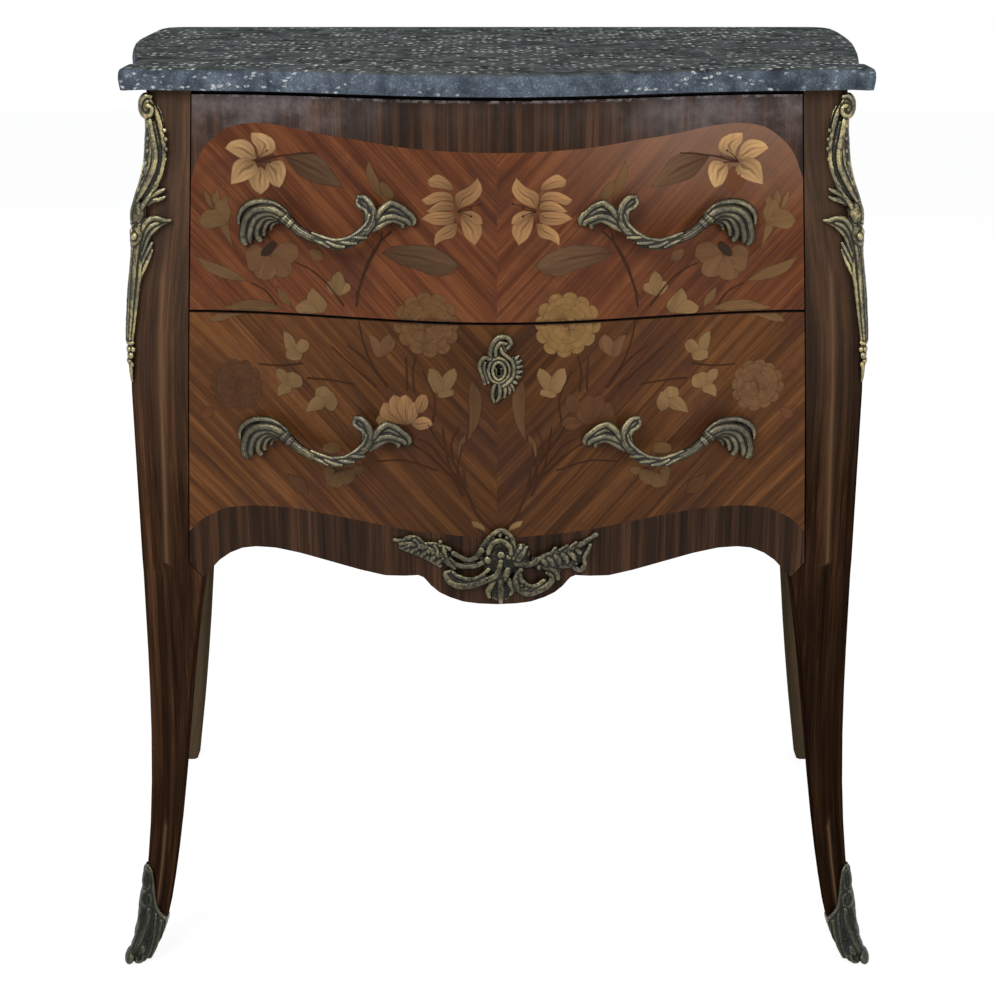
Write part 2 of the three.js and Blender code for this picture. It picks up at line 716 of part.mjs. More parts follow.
function lowerFront() {
  const edge = new THREE.CatmullRomCurve3(apronShares.map(([x, z]) => new THREE.Vector3(x, z, 0)));
  const shares = apronShares.map(([x]) => x);
  const columns = [...shares.slice(1).reverse().map((x) => -x), ...shares];
  const riseAt = (u) => {
    const i = shares.findIndex((x) => Math.abs(x - Math.abs(u)) < 1e-9);
    return edge.getPoint(i / (shares.length - 1)).y;
  };
  const front = frontBoard(columns, evenly(4), (u, v) => mix(apronTip + archRise * riseAt(u), lowerTop, v));
  const mortise = block(
    -caseWidth / 2 - seat, caseWidth / 2 + seat, caseFrontY - seat, caseBackY + frontThickness,
    caseTop - caseHeight - seat, lowerShoulder + overrun,
  );
  const behindLip = block(
    -caseWidth, caseWidth, faceY(0, lowerTop) - bow, caseFrontY - seat - overrun,
    lowerShoulder - overrun, lowerTop + overrun,
  );
  return surface(front
    .subtract(rebate(lowerShoulder, lowerTop + overrun))
    .subtract(solid(mortise).subtract(solid(behindLip)))
    .subtract(keyhole(faceY(0, keyZ) - overrun, caseFrontY + overrun))
    .subtract(shankBores(lowerHandle)));
}

add('lower_drawer_front', lowerFront(), veneer);

function lockCase() {
  const half = caseWidth / 2;
  const body = solid(block(-half, half, caseFrontY, caseBackY, caseTop - caseHeight, caseTop));
  const channel = block(
    -boltWidth / 2 - boltPlay, boltWidth / 2 + boltPlay,
    boltY - boltThickness / 2 - boltPlay, boltY + boltThickness / 2 + boltPlay,
    boltFloor - boltPlay, caseTop + overrun,
  );
  return surface(body.subtract(solid(channel)).subtract(keyhole(caseFrontY - overrun, boltY)));
}

add('lock_case', lockCase(), steel);

// The bolt has a notch above the key's bit, which lifts it
function lockBolt() {
  const plate = solid(block(
    -boltWidth / 2, boltWidth / 2, boltY - boltThickness / 2, boltY + boltThickness / 2,
    boltFloor, boltFloor + boltHeight,
  ));
  const notch = block(
    -boltThrow / 2, boltThrow / 2, boltY - boltThickness, boltY + boltThickness,
    boltFloor - overrun, keyZ + keyRadius,
  );
  return surface(plate.subtract(solid(notch)));
}

add('lock_bolt', lockBolt(), steel);

// Drawer boxes: grooved sides, a back above the bottom, and a thin bottom that slides in from behind
function drawerBox(name, shelfZ, topZ) {
  const base = shelfZ + seat;
  const inner = drawerHalf - drawerSide;
  const start = Math.max(faceY(drawerHalf, base), faceY(drawerHalf, topZ)) + frontThickness + 2 * seat;
  const backEnd = bodyBackY - backThickness - backPlay;
  const grooveBase = base + bottomRise;
  const grooveTop = grooveBase + drawerBottom + 2 * seat;
  const section = new THREE.Shape([
    new THREE.Vector2(inner, base), new THREE.Vector2(drawerHalf, base),
    new THREE.Vector2(drawerHalf, topZ), new THREE.Vector2(inner, topZ),
    new THREE.Vector2(inner, grooveTop), new THREE.Vector2(inner + grooveDepth, grooveTop),
    new THREE.Vector2(inner + grooveDepth, grooveBase), new THREE.Vector2(inner, grooveBase),
  ]);
  const length = backEnd - start;
  const grooved = new THREE.ExtrudeGeometry(section, { depth: length, bevelEnabled: false, steps: 1 });
  const side = closed(grooved.rotateX(Math.PI / 2).translate(0, backEnd, 0));
  add(`${name}_right_side`, side, plainWood);
  add(`${name}_left_side`, side, plainWood).scale.x = -1;
  const between = inner - seat;
  const back = block(-between, between, backEnd - drawerSide, backEnd, grooveTop, topZ);
  add(`${name}_back`, back, plainWood);
  const bottomHalf = inner + grooveDepth - seat;
  const outline = serpentine(grooveBase, frontThickness + railGap, bottomHalf, backEnd);
  add(`${name}_bottom`, raised(outline, grooveBase + seat, drawerBottom), plainWood);
}

drawerBox('upper_drawer', middleRailTop, topRailBase - sideDrop);
drawerBox('lower_drawer', lowRailTop, middleRailBase - sideDrop);

// Handle castings. Rows are shares of the half length, half height and reach, then of the girth
// across and through. The outer end is a drooping leaf, the inner end a fork with a curl and a leaf.
const handleLimbShares = [
  [[0.44, 0.3, 0.7, 0.8, 0.8], [0.28, -0.18, 0.8, 0.85, 0.8], [0.15, -0.56, 0.84, 0.9, 0.8],
    [0.01, -0.82, 0.86, 1, 0.8], [-0.12, -0.9, 0.86, 1.05, 0.8], [-0.26, -0.8, 0.84, 1.1, 0.8],
    [-0.39, -0.5, 0.8, 1.1, 0.8], [-0.49, -0.12, 0.78, 1.15, 0.8], [-0.53, 0.28, 0.76, 1.1, 0.75],
    [-0.5, 0.66, 0.74, 0.9, 0.65], [-0.43, 0.9, 0.68, 0.7, 0.6], [-0.35, 0.86, 0.6, 0.5, 0.5]],
  [[0.36, 0.16, 0.7, 0.9, 0.8], [0.55, 0.6, 0.66, 1.1, 0.8], [0.71, 0.84, 0.56, 1.2, 0.8],
    [0.9, 0.62, 0.42, 1.1, 0.7], [0.98, 0.2, 0.3, 0.6, 0.5]],
  [[0.35, 0.05, 0.74, 0.9, 0.8], [0.6, 0.42, 0.78, 1.2, 0.8], [0.8, 0.3, 0.66, 1.2, 0.8],
    [0.91, -0.2, 0.46, 1.1, 0.7], [0.92, -0.82, 0.3, 0.7, 0.5]],
  [[0.36, -0.02, 0.76, 0.8, 0.7], [0.58, 0.2, 0.8, 0.9, 0.8], [0.71, -0.02, 0.64, 0.9, 0.7],
    [0.75, -0.72, 0.34, 0.6, 0.5]],
  [[-0.5, 0.05, 0.7, 0.8, 0.7], [-0.64, 0.52, 0.66, 0.9, 0.7], [-0.74, 0.66, 0.58, 1, 0.7],
    [-0.87, 0.5, 0.44, 0.8, 0.6], [-0.99, 0.02, 0.28, 0.5, 0.4]],
  [[-0.5, -0.2, 0.7, 0.8, 0.7], [-0.64, 0.05, 0.64, 0.9, 0.7], [-0.76, 0.12, 0.52, 0.9, 0.6],
    [-0.87, -0.16, 0.34, 0.5, 0.4]],
];

function handle(name, frame) {
  const size = new THREE.Vector3(handleHalfLength, handleHalfHeight, handleReach);
  const limbs = handleLimbShares.map((shares) => limb(shares, size, handleGirth));
  const posts = postPlaces.flatMap((place) => {
    const [u, v] = place;
    const shoulder = seatPlay - depthAt(frame, place, 0);
    const shankEnd = -depthAt(frame, place, frontThickness) - nutThickness - 2 * seatPlay;
    return [
      solid(rod(postRadius, shoulder, handleReach * postTopShare).translate(u, v, 0)),
      solid(rod(shankRadius, shankEnd, shoulder + postRadius).translate(u, v, 0)),
    ];
  });
  const casting = surface(joined([...limbs, ...posts]));
  const ring = solid(rod(nutRadius, -nutThickness, 0, 6));
  const hole = solid(rod(shankRadius + shankPlay, -nutThickness - overrun, overrun, 8));
  const nut = surface(ring.subtract(hole));
  for (const side of ['right', 'left']) {
    const whole = new THREE.Group();
    if (side === 'left') whole.scale.x = -1;
    const seated = new THREE.Group();
    frame.decompose(seated.position, seated.quaternion, seated.scale);
    whole.add(seated);
    commode.add(whole);
    add(`${name}_${side}_handle`, casting, brass, seated);
    postPlaces.forEach(([u, v], end) => {
      const place = end === 0 ? 'inner' : 'outer';
      const depth = depthAt(frame, [u, v], frontThickness) + seatPlay;
      add(`${name}_${side}_${place}_nut`, nut, brass, seated).position.set(u, v, -depth);
    });
  }
}

handle('upper', upperHandle);
handle('lower', lowerHandle);

// Castings that lie on the front: the keyhole plate and the apron mount
const onFront = (centreZ) => (u, v, w) => {
  const z = centreZ + v;
  return [u, faceY(u, z) - w - seat, z];
};

const plateHalfWidth = 18;
const plateHalfHeight = 28;
const plateRelief = 4;
const plateGirth = 5;
const plateThickness = 2.4;
const ovalShares = [0.56, 0.43, -0.05];   // half width, half height and height of the middle
const plateLimbShares = [
  [[-0.3, 0.26, 0.4, 1, 0.8], [-0.36, 0.68, 0.5, 1.1, 1], [0, 0.94, 0.5, 0.9, 0.9],
    [0.42, 0.9, 0.5, 0.8, 0.8], [0.5, 0.66, 0.4, 0.5, 0.6]],
  [[0, 0.24, 0.4, 0.9, 0.8], [0.05, 0.6, 0.4, 0.9, 0.8], [0.1, 0.85, 0.4, 0.7, 0.7]],
  [[-0.32, 0.24, 0.4, 1, 0.8], [-0.86, 0.24, 0.5, 1, 0.9], [-0.86, -0.05, 0.4, 1, 0.9],
    [-0.7, -0.3, 0.4, 0.9, 0.8], [-0.62, -0.52, 0.3, 0.5, 0.6]],
  [[0.32, 0.22, 0.4, 1, 0.8], [0.86, 0.26, 0.5, 1.1, 0.9], [0.92, 0, 0.4, 1.2, 0.9],
    [0.8, -0.3, 0.4, 1, 0.8], [0.36, -0.42, 0.3, 0.8, 0.6]],
  [[-0.08, -0.28, 0.4, 1, 0.8], [-0.2, -0.7, 0.4, 0.9, 0.8], [-0.34, -0.97, 0.3, 0.4, 0.5]],
  [[0.08, -0.28, 0.4, 1, 0.8], [0.14, -0.72, 0.4, 0.9, 0.8], [0.02, -0.97, 0.3, 0.4, 0.5]],
  [[0.16, -0.26, 0.4, 0.9, 0.8], [0.4, -0.6, 0.4, 0.8, 0.8], [0.5, -0.8, 0.3, 0.4, 0.5]],
];

function keyholePlate() {
  const size = new THREE.Vector3(plateHalfWidth, plateHalfHeight, plateRelief);
  const limbs = plateLimbShares.map((shares) => limb(shares, size, plateGirth));
  const [across, up, middle] = ovalShares;
  const oval = new THREE.CylinderGeometry(1, 1, plateThickness, 20).rotateX(Math.PI / 2);
  oval.scale(across * plateHalfWidth, up * plateHalfHeight, 1);
  oval.translate(0, middle * plateHalfHeight, plateThickness / 2);
  const hole = rod(keyRadius, -overrun, plateRelief + overrun, 10);
  const slot = block(-keySlot / 2, keySlot / 2, keyRadius - keyLength, 0, -overrun, plateRelief + overrun);
  const casting = joined([...limbs, solid(oval)]).subtract(solid(hole)).subtract(solid(slot));
  return laid(casting, size, onFront(keyZ));
}

add('keyhole_plate', keyholePlate(), brass);

const mountHalfLength = 84;
const mountHalfHeight = 33;
const mountRelief = 7;
const mountGirth = 7;
const mountRise = 34;         // from the tip of the apron to the mount's middle
const mountLimbShares = [
  // the shell over the middle, and the boss under it
  [[-0.13, 0.3, 0.4, 0.8, 0.8], [-0.09, 0.66, 0.7, 1, 1], [0.03, 0.9, 0.8, 1.2, 1.1],
    [0.13, 0.66, 0.7, 1, 1], [0.17, 0.3, 0.4, 0.7, 0.8]],
  [[-0.1, 0.36, 0.6, 0.8, 0.8], [0.01, 0.56, 0.8, 1, 0.9], [0.12, 0.4, 0.6, 0.8, 0.8]],
  [[-0.05, 0.2, 0.6, 1.2, 1.2], [0.03, 0.26, 0.8, 1.8, 1.4], [0.11, 0.2, 0.6, 1.1, 1.1]],
  // scrolls to the left
  [[-0.46, 0.36, 0.4, 0.6, 0.7], [-0.37, 0.22, 0.6, 0.9, 0.9], [-0.25, 0.18, 0.7, 0.9, 0.9],
    [-0.16, 0.36, 0.6, 0.8, 0.8], [-0.11, 0.5, 0.5, 0.6, 0.7]],
  [[-0.5, 0.26, 0.4, 0.8, 0.8], [-0.38, 0.06, 0.6, 0.8, 0.9], [-0.25, 0.02, 0.6, 0.9, 0.9],
    [-0.12, 0.14, 0.6, 0.8, 0.8], [-0.02, 0.2, 0.5, 0.7, 0.8]],
  [[-0.46, 0, 0.4, 0.8, 0.8], [-0.5, -0.3, 0.5, 0.9, 0.9], [-0.4, -0.52, 0.6, 1, 0.9],
    [-0.24, -0.52, 0.6, 1, 0.9], [-0.1, -0.34, 0.6, 1, 0.9], [0, -0.1, 0.6, 0.9, 0.9],
    [0.04, 0.14, 0.5, 0.8, 0.8]],
  [[-0.46, -0.1, 0.4, 0.6, 0.6], [-0.38, -0.3, 0.5, 0.7, 0.7], [-0.26, -0.34, 0.5, 0.7, 0.7],
    [-0.16, -0.22, 0.5, 0.7, 0.7], [-0.1, -0.04, 0.4, 0.5, 0.6]],
  // the left leaf
  [[-0.42, 0.06, 0.4, 1, 0.8], [-0.52, 0.26, 0.5, 1.6, 1], [-0.64, 0.46, 0.5, 1.5, 1],
    [-0.78, 0.56, 0.5, 1.2, 0.9], [-0.9, 0.6, 0.4, 0.9, 0.7], [-1, 0.68, 0.3, 0.4, 0.5]],
  [[-0.44, 0.3, 0.4, 0.8, 0.8], [-0.53, 0.44, 0.5, 0.8, 0.8], [-0.6, 0.46, 0.4, 0.6, 0.6]],
  // the right leaf, with its lobes
  [[0.03, 0.16, 0.6, 1.4, 1], [0.26, 0.1, 0.6, 1.6, 1], [0.38, 0.16, 0.6, 1.4, 1],
    [0.52, 0.32, 0.6, 1.5, 1], [0.68, 0.46, 0.5, 1.3, 0.9], [0.84, 0.6, 0.4, 0.9, 0.8],
    [0.99, 0.78, 0.3, 0.4, 0.5]],
  [[0.62, 0.36, 0.4, 0.8, 0.7], [0.74, 0.12, 0.5, 0.9, 0.8], [0.82, 0.02, 0.5, 0.9, 0.8],
    [0.9, 0.2, 0.4, 0.8, 0.7], [0.94, 0.56, 0.3, 0.5, 0.5]],
  [[0.36, 0.1, 0.4, 1, 0.8], [0.46, 0, 0.5, 1.1, 0.8], [0.58, -0.18, 0.3, 0.5, 0.5]],
  [[0.16, 0.3, 0.4, 0.9, 0.8], [0.22, 0.44, 0.5, 1, 0.8], [0.24, 0.62, 0.3, 0.5, 0.5]],
  // the scroll under it
  [[0.16, 0.1, 0.4, 0.8, 0.8], [0.19, -0.14, 0.5, 0.9, 0.8], [0.19, -0.4, 0.6, 1.1, 0.9],
    [0.26, -0.64, 0.6, 1.2, 0.9], [0.37, -0.7, 0.6, 1.1, 0.9], [0.49, -0.54, 0.6, 0.9, 0.9],
    [0.56, -0.32, 0.5, 0.8, 0.8], [0.52, -0.16, 0.4, 0.6, 0.6]],
  // the leaves at the bottom
  [[0.02, 0.1, 0.6, 1, 1], [0, -0.3, 0.6, 1.2, 1], [0.02, -0.62, 0.5, 1.4, 0.9],
    [0.03, -0.94, 0.3, 0.6, 0.5]],
  [[-0.02, -0.3, 0.4, 0.8, 0.8], [-0.07, -0.56, 0.5, 0.8, 0.8], [-0.08, -0.8, 0.3, 0.4, 0.5]],
  [[0.05, -0.3, 0.4, 0.8, 0.8], [0.1, -0.5, 0.5, 0.8, 0.8], [0.14, -0.66, 0.3, 0.4, 0.5]],
];

function apronMount() {
  const size = new THREE.Vector3(mountHalfLength, mountHalfHeight, mountRelief);
  const limbs = mountLimbShares.map((shares) => limb(shares, size, mountGirth));
  return laid(joined(limbs), size, onFront(apronTip + mountRise));
}

add('apron_mount', apronMount(), brass);

// Corner mounts lie round the rounded outer edge of each front stile. Across, 0 is the middle of
// the edge, and negative is towards the drawers.
const cornerHalfHeight = 117;
const cornerMountDrop = 121;  // from the body's top to the mount's middle
const cornerReachAcross = 30;
const cornerRelief = 8;
const cornerGirth = 7;
const cornerPlay = 0.9;       // behind the mount, on the leg's swelling edge
const cornerLimbShares = [
  [[0, 0.88, 0.3, 1.1, 1], [0.06, 0.95, 0.5, 1.4, 1.2], [-0.14, 0.97, 0.5, 1.3, 1.1],
    [-0.24, 0.91, 0.3, 0.9, 0.8]],
  [[-0.14, 0.94, 0.4, 0.9, 0.9], [-0.36, 0.8, 0.5, 1, 1], [-0.5, 0.6, 0.6, 1.1, 1],
    [-0.44, 0.44, 0.6, 1.2, 1], [-0.26, 0.3, 0.5, 1.1, 1], [-0.02, 0.2, 0.4, 0.9, 0.9]],
  [[0.02, 0.92, 0.4, 0.9, 0.9], [0.08, 0.78, 0.5, 0.9, 0.9], [0.08, 0.58, 0.5, 1, 0.9],
    [0.06, 0.42, 0.5, 1, 0.9], [0.1, 0.28, 0.4, 1.1, 0.9], [0.06, 0.16, 0.4, 0.9, 0.9]],
  [[-0.2, 0.26, 0.4, 0.8, 0.8], [-0.42, 0.3, 0.5, 0.8, 0.8], [-0.7, 0.32, 0.3, 0.4, 0.5]],
  [[-0.1, 0.24, 0.4, 1.2, 1], [-0.06, 0.12, 0.6, 2.2, 1.3], [-0.06, 0, 0.6, 2.1, 1.3],
    [-0.1, -0.12, 0.5, 1.4, 1]],
  [[-0.1, -0.1, 0.4, 1, 0.9], [-0.28, 0.04, 0.5, 1.1, 1], [-0.56, 0.13, 0.5, 0.9, 0.9],
    [-0.95, 0.12, 0.3, 0.4, 0.5]],
  [[-0.08, 0, 0.5, 1.8, 1.1], [-0.14, -0.22, 0.6, 2.2, 1.1], [-0.1, -0.44, 0.5, 1.4, 1],
    [-0.06, -0.66, 0.5, 1, 0.9], [-0.04, -0.82, 0.3, 0.8, 0.7]],
  [[-0.04, -0.78, 0.3, 0.9, 0.8], [-0.04, -0.84, 0.4, 1.2, 1.1], [-0.04, -0.9, 0.3, 0.8, 0.8],
    [-0.04, -0.99, 0.2, 0.4, 0.4]],
];

function cornerMount() {
  const size = new THREE.Vector3(cornerReachAcross, cornerHalfHeight, cornerRelief);
  const limbs = cornerLimbShares.map((shares) => limb(shares, size, cornerGirth));
  const centreZ = bodyTop - cornerMountDrop;
  const quarter = (Math.PI / 2 - cantAngle) * arrisRadius;
  return laid(joined(limbs), size, (a, v, w) => {
    const z = centreZ + v;
    const edge = arris(z);
    const around = Math.min(quarter, Math.max(0, a + quarter / 2));
    const past = a + quarter / 2 - around;
    const turn = cantAngle - Math.PI / 2 + around / arrisRadius;
    const radius = arrisRadius + cornerPlay + w;
    return [
      edge.x + radius * Math.cos(turn) - past * Math.sin(turn),
      edge.y + radius * Math.sin(turn) + past * Math.cos(turn),
      z,
    ];
  });
}

addPair('corner_mount', cornerMount(), brass);

// Shoes: thin castings over the feet, with a scrolled toe and a leaf that climbs the outer edge
const shoeWall = 2.6;
const shoePlay = 0.45;        // between the foot and its shoe
const toeFlare = 1.5;         // how much thicker the shoe is at the floor, as a ratio
const shoeHeight = 40;
const leafHeight = 106;
const leafWidth = 30;
const toeGirth = 13;
const toeRise = 14;
// The leaf's outline: shares of its width from the middle, and of its height above the shoe
const shoeLeafShares = [[1, 0], [0.62, 0.14], [0.4, 0.34], [0.46, 0.5], [0.3, 0.72], [0.1, 1]];

function shoe() {
  const all = legLevels(frontLegBase);
  const levels = all.slice(0, all.findIndex((z) => z > leafHeight) + 1);
  const wall = (z) => shoeWall * mix(toeFlare, 1, smooth(z / shoeHeight));
  const outer = solid(loft([0, ...levels].map((z) => inflate(frontLegRing(z), wall(z)))));
  const inner = solid(loft(levels.map((z, i) => {
    const shift = i === 0 ? -seat : i === levels.length - 1 ? overrun : 0;
    return inflate(frontLegRing(z), shoePlay).map(([x, y]) => [x, y, z + shift]);
  })));
  const foot = frontLegRing(leafHeight / 2);
  const middleX = foot.reduce((sum, [x]) => sum + x, 0) / foot.length;
  const middleY = foot.reduce((sum, [, y]) => sum + y, 0) / foot.length;
  const reach = 4 * shoeWall + ankleWidth + footSplay;
  const side = shoeLeafShares.map(([across, up]) => [
    across * (leafWidth / 2), mix(shoeHeight, leafHeight, up),
  ]);
  const outline = [...side, ...side.slice().reverse().map(([a, z]) => [-a, z])];
  const shape = new THREE.Shape(outline.map(([a, z]) => new THREE.Vector2(a, z)));
  const blade = new THREE.ExtrudeGeometry(shape, { depth: 2 * reach, bevelEnabled: false, steps: 1 });
  blade.rotateX(Math.PI / 2).rotateZ(Math.PI / 4).translate(middleX, middleY, 0);
  const around = (base, top) => solid(block(
    middleX - 2 * reach, middleX + 2 * reach, middleY - 2 * reach, middleY + 2 * reach, base, top,
  ));
  const shell = outer.subtract(inner).intersect(solid(blade).add(around(-overrun, shoeHeight)));
  const toe = arris(0);
  const scroll = limb(
    [[-0.9, 0.2, 0, 0.5, 0.5], [-0.3, 0, 0.1, 1, 1], [0.3, 0, 0.1, 1, 1], [0.9, 0.2, 0, 0.5, 0.5]],
    new THREE.Vector3(toeGirth, toeGirth / 2, toeGirth / 2), toeGirth, 8,
  );
  const toeRoll = surface(scroll).rotateX(Math.PI / 2).rotateZ(Math.PI / 4)
    .translate(toe.x + arrisRadius / 2, toe.y - arrisRadius / 2, toeRise / 2 + seat);
  return surface(shell.add(solid(toeRoll).subtract(inner)).subtract(around(-reach, 0)));
}

addPair('shoe', shoe(), brass);

export default commode;
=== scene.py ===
# A small serpentine commode with two drawers, floral marquetry, a marble top and antique brass mounts.
# Metres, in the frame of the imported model: +X right, the front faces -Y, +Z up, the floor at 0.
import math

import bmesh
import bpy
import numpy as np
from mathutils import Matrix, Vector, geometry


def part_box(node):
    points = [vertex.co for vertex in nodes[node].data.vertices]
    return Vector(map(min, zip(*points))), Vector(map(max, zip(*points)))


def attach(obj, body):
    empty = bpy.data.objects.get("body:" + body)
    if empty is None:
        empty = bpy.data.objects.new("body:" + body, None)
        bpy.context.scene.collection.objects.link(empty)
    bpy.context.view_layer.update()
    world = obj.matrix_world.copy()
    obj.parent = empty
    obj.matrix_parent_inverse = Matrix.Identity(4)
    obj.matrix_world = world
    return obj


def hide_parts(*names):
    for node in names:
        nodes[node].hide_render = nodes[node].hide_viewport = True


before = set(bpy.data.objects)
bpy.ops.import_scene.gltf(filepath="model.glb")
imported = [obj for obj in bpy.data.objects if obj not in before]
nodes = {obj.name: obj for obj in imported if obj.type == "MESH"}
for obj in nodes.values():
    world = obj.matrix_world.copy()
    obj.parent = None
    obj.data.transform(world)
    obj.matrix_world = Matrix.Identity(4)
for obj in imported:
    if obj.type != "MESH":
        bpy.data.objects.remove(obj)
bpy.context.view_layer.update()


# Camera, floor and light. The camera stands in front of the chest, a little above its top, and looks
# down at it, as in the photograph. A pale floor, a large soft lamp above and a soft fill light it.
CAMERA_PLACE = (0, -1.6305, 0.947)
CAMERA_PITCH = 17.3           # degrees below the horizon
CAMERA_SHIFT = -0.06          # in shares of the picture's width
FOCAL_PIXELS = 1813
PHOTO_SIDE = 995              # pixels
SENSOR = 36.0                 # millimetres
FLOOR_SIZE = 12
FLOOR_GLOW = 1.12             # of the floor as the camera sees it, where 1 is white
FLOOR_GLOW_SHARE = 0.8        # the rest of the floor takes the chest's shadow
WHITE = (1, 1, 1, 1)
DAYLIGHT = (0.9, 0.95, 1, 1)
DAYLIGHT_STRENGTH = 0.45
LAMP_AIM = (0, 0, 0.5)
# Lamps: name, place, size and watts
LAMPS = (
    ("key", (-1.3, -2.2, 2.6), 1.6, 60),
    ("fill", (2.0, -2.0, 1.4), 1.8, 18),
    ("back", (0.4, 2.4, 2.2), 2.0, 30),
)


def new_object(name, data):
    made = bpy.data.objects.new(name, data)
    scene.collection.objects.link(made)
    return made


scene = bpy.context.scene
scene.view_settings.view_transform = "Standard"
camera_data = bpy.data.cameras.new("camera")
camera_data.sensor_width = SENSOR
camera_data.lens = FOCAL_PIXELS * SENSOR / PHOTO_SIDE
camera_data.shift_y = CAMERA_SHIFT
camera = new_object("camera", camera_data)
camera.location = CAMERA_PLACE
camera.rotation_euler = (math.radians(90 - CAMERA_PITCH), 0, 0)
scene.camera = camera


def paint(red, green, blue):
    """A colour given as a painter's card reads it, 0 to 255, as the shader's linear numbers."""
    linear = [((c / 255 + 0.055) / 1.055) ** 2.4 if c > 10 else c / 255 / 12.92 for c in (red, green, blue)]
    return (*linear, 1)


def node(tree, kind, inputs=None, **settings):
    """One shader node, with its settings, and its inputs given as values or as other nodes' outputs."""
    made = tree.nodes.new("ShaderNode" + kind)
    for key, value in settings.items():
        setattr(made, key, value)
    for key, value in (inputs or {}).items():
        if isinstance(value, bpy.types.NodeSocket):
            tree.links.new(value, made.inputs[key])
        else:
            made.inputs[key].default_value = value
    return made


def reckon(tree, operation, *values):
    """The result of one step of arithmetic on shader values."""
    return node(tree, "Math", dict(enumerate(values)), operation=operation).outputs[0]


def new_material(name):
    made = bpy.data.materials.new(name)
    made.use_nodes = True
    made.node_tree.nodes.clear()
    return made, made.node_tree


def background_seen(tree):
    """1 on the rays that show the studio: the camera's own, and those in glossy and clear things."""
    path = node(tree, "LightPath")
    seen = path.outputs["Is Camera Ray"]
    for ray in ("Is Glossy Ray", "Is Transmission Ray"):
        seen = reckon(tree, "MAXIMUM", seen, path.outputs[ray])
    return seen


def mixed_light(tree, share, first, second):
    return node(tree, "MixShader", {0: share, 1: first.outputs[0], 2: second.outputs[0]}).outputs[0]


bpy.ops.object.select_all(action="DESELECT")
bpy.ops.mesh.primitive_plane_add(size=FLOOR_SIZE, location=(0, 0, 0))
floor = bpy.context.object
floor.name = "floor"
floor_material, tree = new_material("pale_floor")
card = node(tree, "BsdfPrincipled", {"Base Color": paint(236, 236, 236), "Roughness": 0.9})
glow = node(tree, "Emission", {"Color": WHITE, "Strength": FLOOR_GLOW})
glow_share = reckon(tree, "MULTIPLY", background_seen(tree), FLOOR_GLOW_SHARE)
node(tree, "OutputMaterial", {"Surface": mixed_light(tree, glow_share, card, glow)})
floor.data.materials.append(floor_material)

world = bpy.data.worlds.new("studio")
scene.world = world
world.use_nodes = True
tree = world.node_tree
tree.nodes.clear()
light_in = node(tree, "Background", {"Color": DAYLIGHT, "Strength": DAYLIGHT_STRENGTH})
light_seen = node(tree, "Background", {"Color": WHITE, "Strength": 1.0})
node(tree, "OutputWorld", {"Surface": mixed_light(tree, background_seen(tree), light_in, light_seen)})

for name, place, width, watts in LAMPS:
    lamp_data = bpy.data.lights.new(name, "AREA")
    lamp_data.shape = "SQUARE"
    lamp_data.size = width
    lamp_data.energy = watts
    lamp = new_object(name, lamp_data)
    lamp.location = place
    lamp.rotation_euler = (Vector(LAMP_AIM) - Vector(place)).to_track_quat("-Z", "Y").to_euler()


# Plain wood inside: oak rails, runners and drawer boxes, left unpolished and browned by age. The
# pieces are planed boards, so they keep the shapes that the frame gives them.
OAK = (paint(112, 82, 54), paint(142, 108, 72), paint(168, 132, 90))
# Grain: stripes and fibres to a metre, how they run along the wood as a share of that, and their wave
OAK_GRAIN = (90, 620, 0.05, 0.08)
FIBRE_SHARE = 0.36
LINE_FINENESS = 2.6           # thin dark lines, as a share of the stripes
LINE_RUN = 0.4
ALONG_X = (0, math.radians(90), 0)
ALONG_Y = (math.radians(90), 0, 0)
UPRIGHT = (0, 0, 0)
LEVELS = ("top", "middle", "low")
SIDES = ("left", "right")


def here(tree):
    return node(tree, "TexCoord").outputs["Object"]


def parts(tree, vector):
    return node(tree, "SeparateXYZ", {0: vector}).outputs


def noise(tree, place, scale, detail, roughness=0.6, distortion=0):
    return node(tree, "TexNoise", {
        "Vector": place, "Scale": scale, "Detail": detail, "Roughness": roughness, "Distortion": distortion,
    }).outputs[0]


def between(tree, value, start, end, low=0, high=1):
    """A number that goes from low to high while a value goes from start to end."""
    return node(tree, "MapRange", {
        "Value": value, "From Min": start, "From Max": end, "To Min": low, "To Max": high,
    }).outputs[0]


def blend(tree, share, first, second):
    return node(tree, "Mix", {0: share, 6: first, 7: second}, data_type="RGBA").outputs[2]


def multiplied(tree, colour, by):
    return node(tree, "Mix", {0: 1.0, 6: colour, 7: by}, data_type="RGBA", blend_type="MULTIPLY").outputs[2]


def mean_height(tree, share, first, second):
    return node(tree, "Mix", {0: share, 2: first, 3: second}, data_type="FLOAT").outputs[0]


def three_tones(tree, value, tones, places):
    """A colour that passes through three tones, each at its place."""
    ramp = node(tree, "ValToRGB", {"Fac": value})
    stops = ramp.color_ramp.elements
    stops[0].position, stops[1].position = places[0], places[2]
    stops[0].color, stops[1].color = tones[0], tones[2]
    stops.new(places[1]).color = tones[1]
    return ramp.outputs[0]


def wood_nodes(tree, place, grain, colours):
    """The colour and the height of grain along Z of a place: stripes, fine fibres and thin dark lines."""
    stripe, fibre, run, wave = grain

    def streaks(scale, share, detail, distortion):
        at = node(tree, "Mapping", {"Vector": place, "Scale": (scale, scale, scale * share)})
        return noise(tree, at.outputs[0], 1, detail, 0.6, distortion)

    height = mean_height(tree, FIBRE_SHARE, streaks(stripe, run, 2, wave), streaks(fibre, run, 3, 0.1))
    lines = streaks(stripe * LINE_FINENESS, run * LINE_RUN, 1, 0.1)
    colour = three_tones(tree, height, colours, (0.38, 0.5, 0.62))
    return blend(tree, between(tree, lines, 0.6, 0.68, 0, 0.6), colour, colours[0]), height


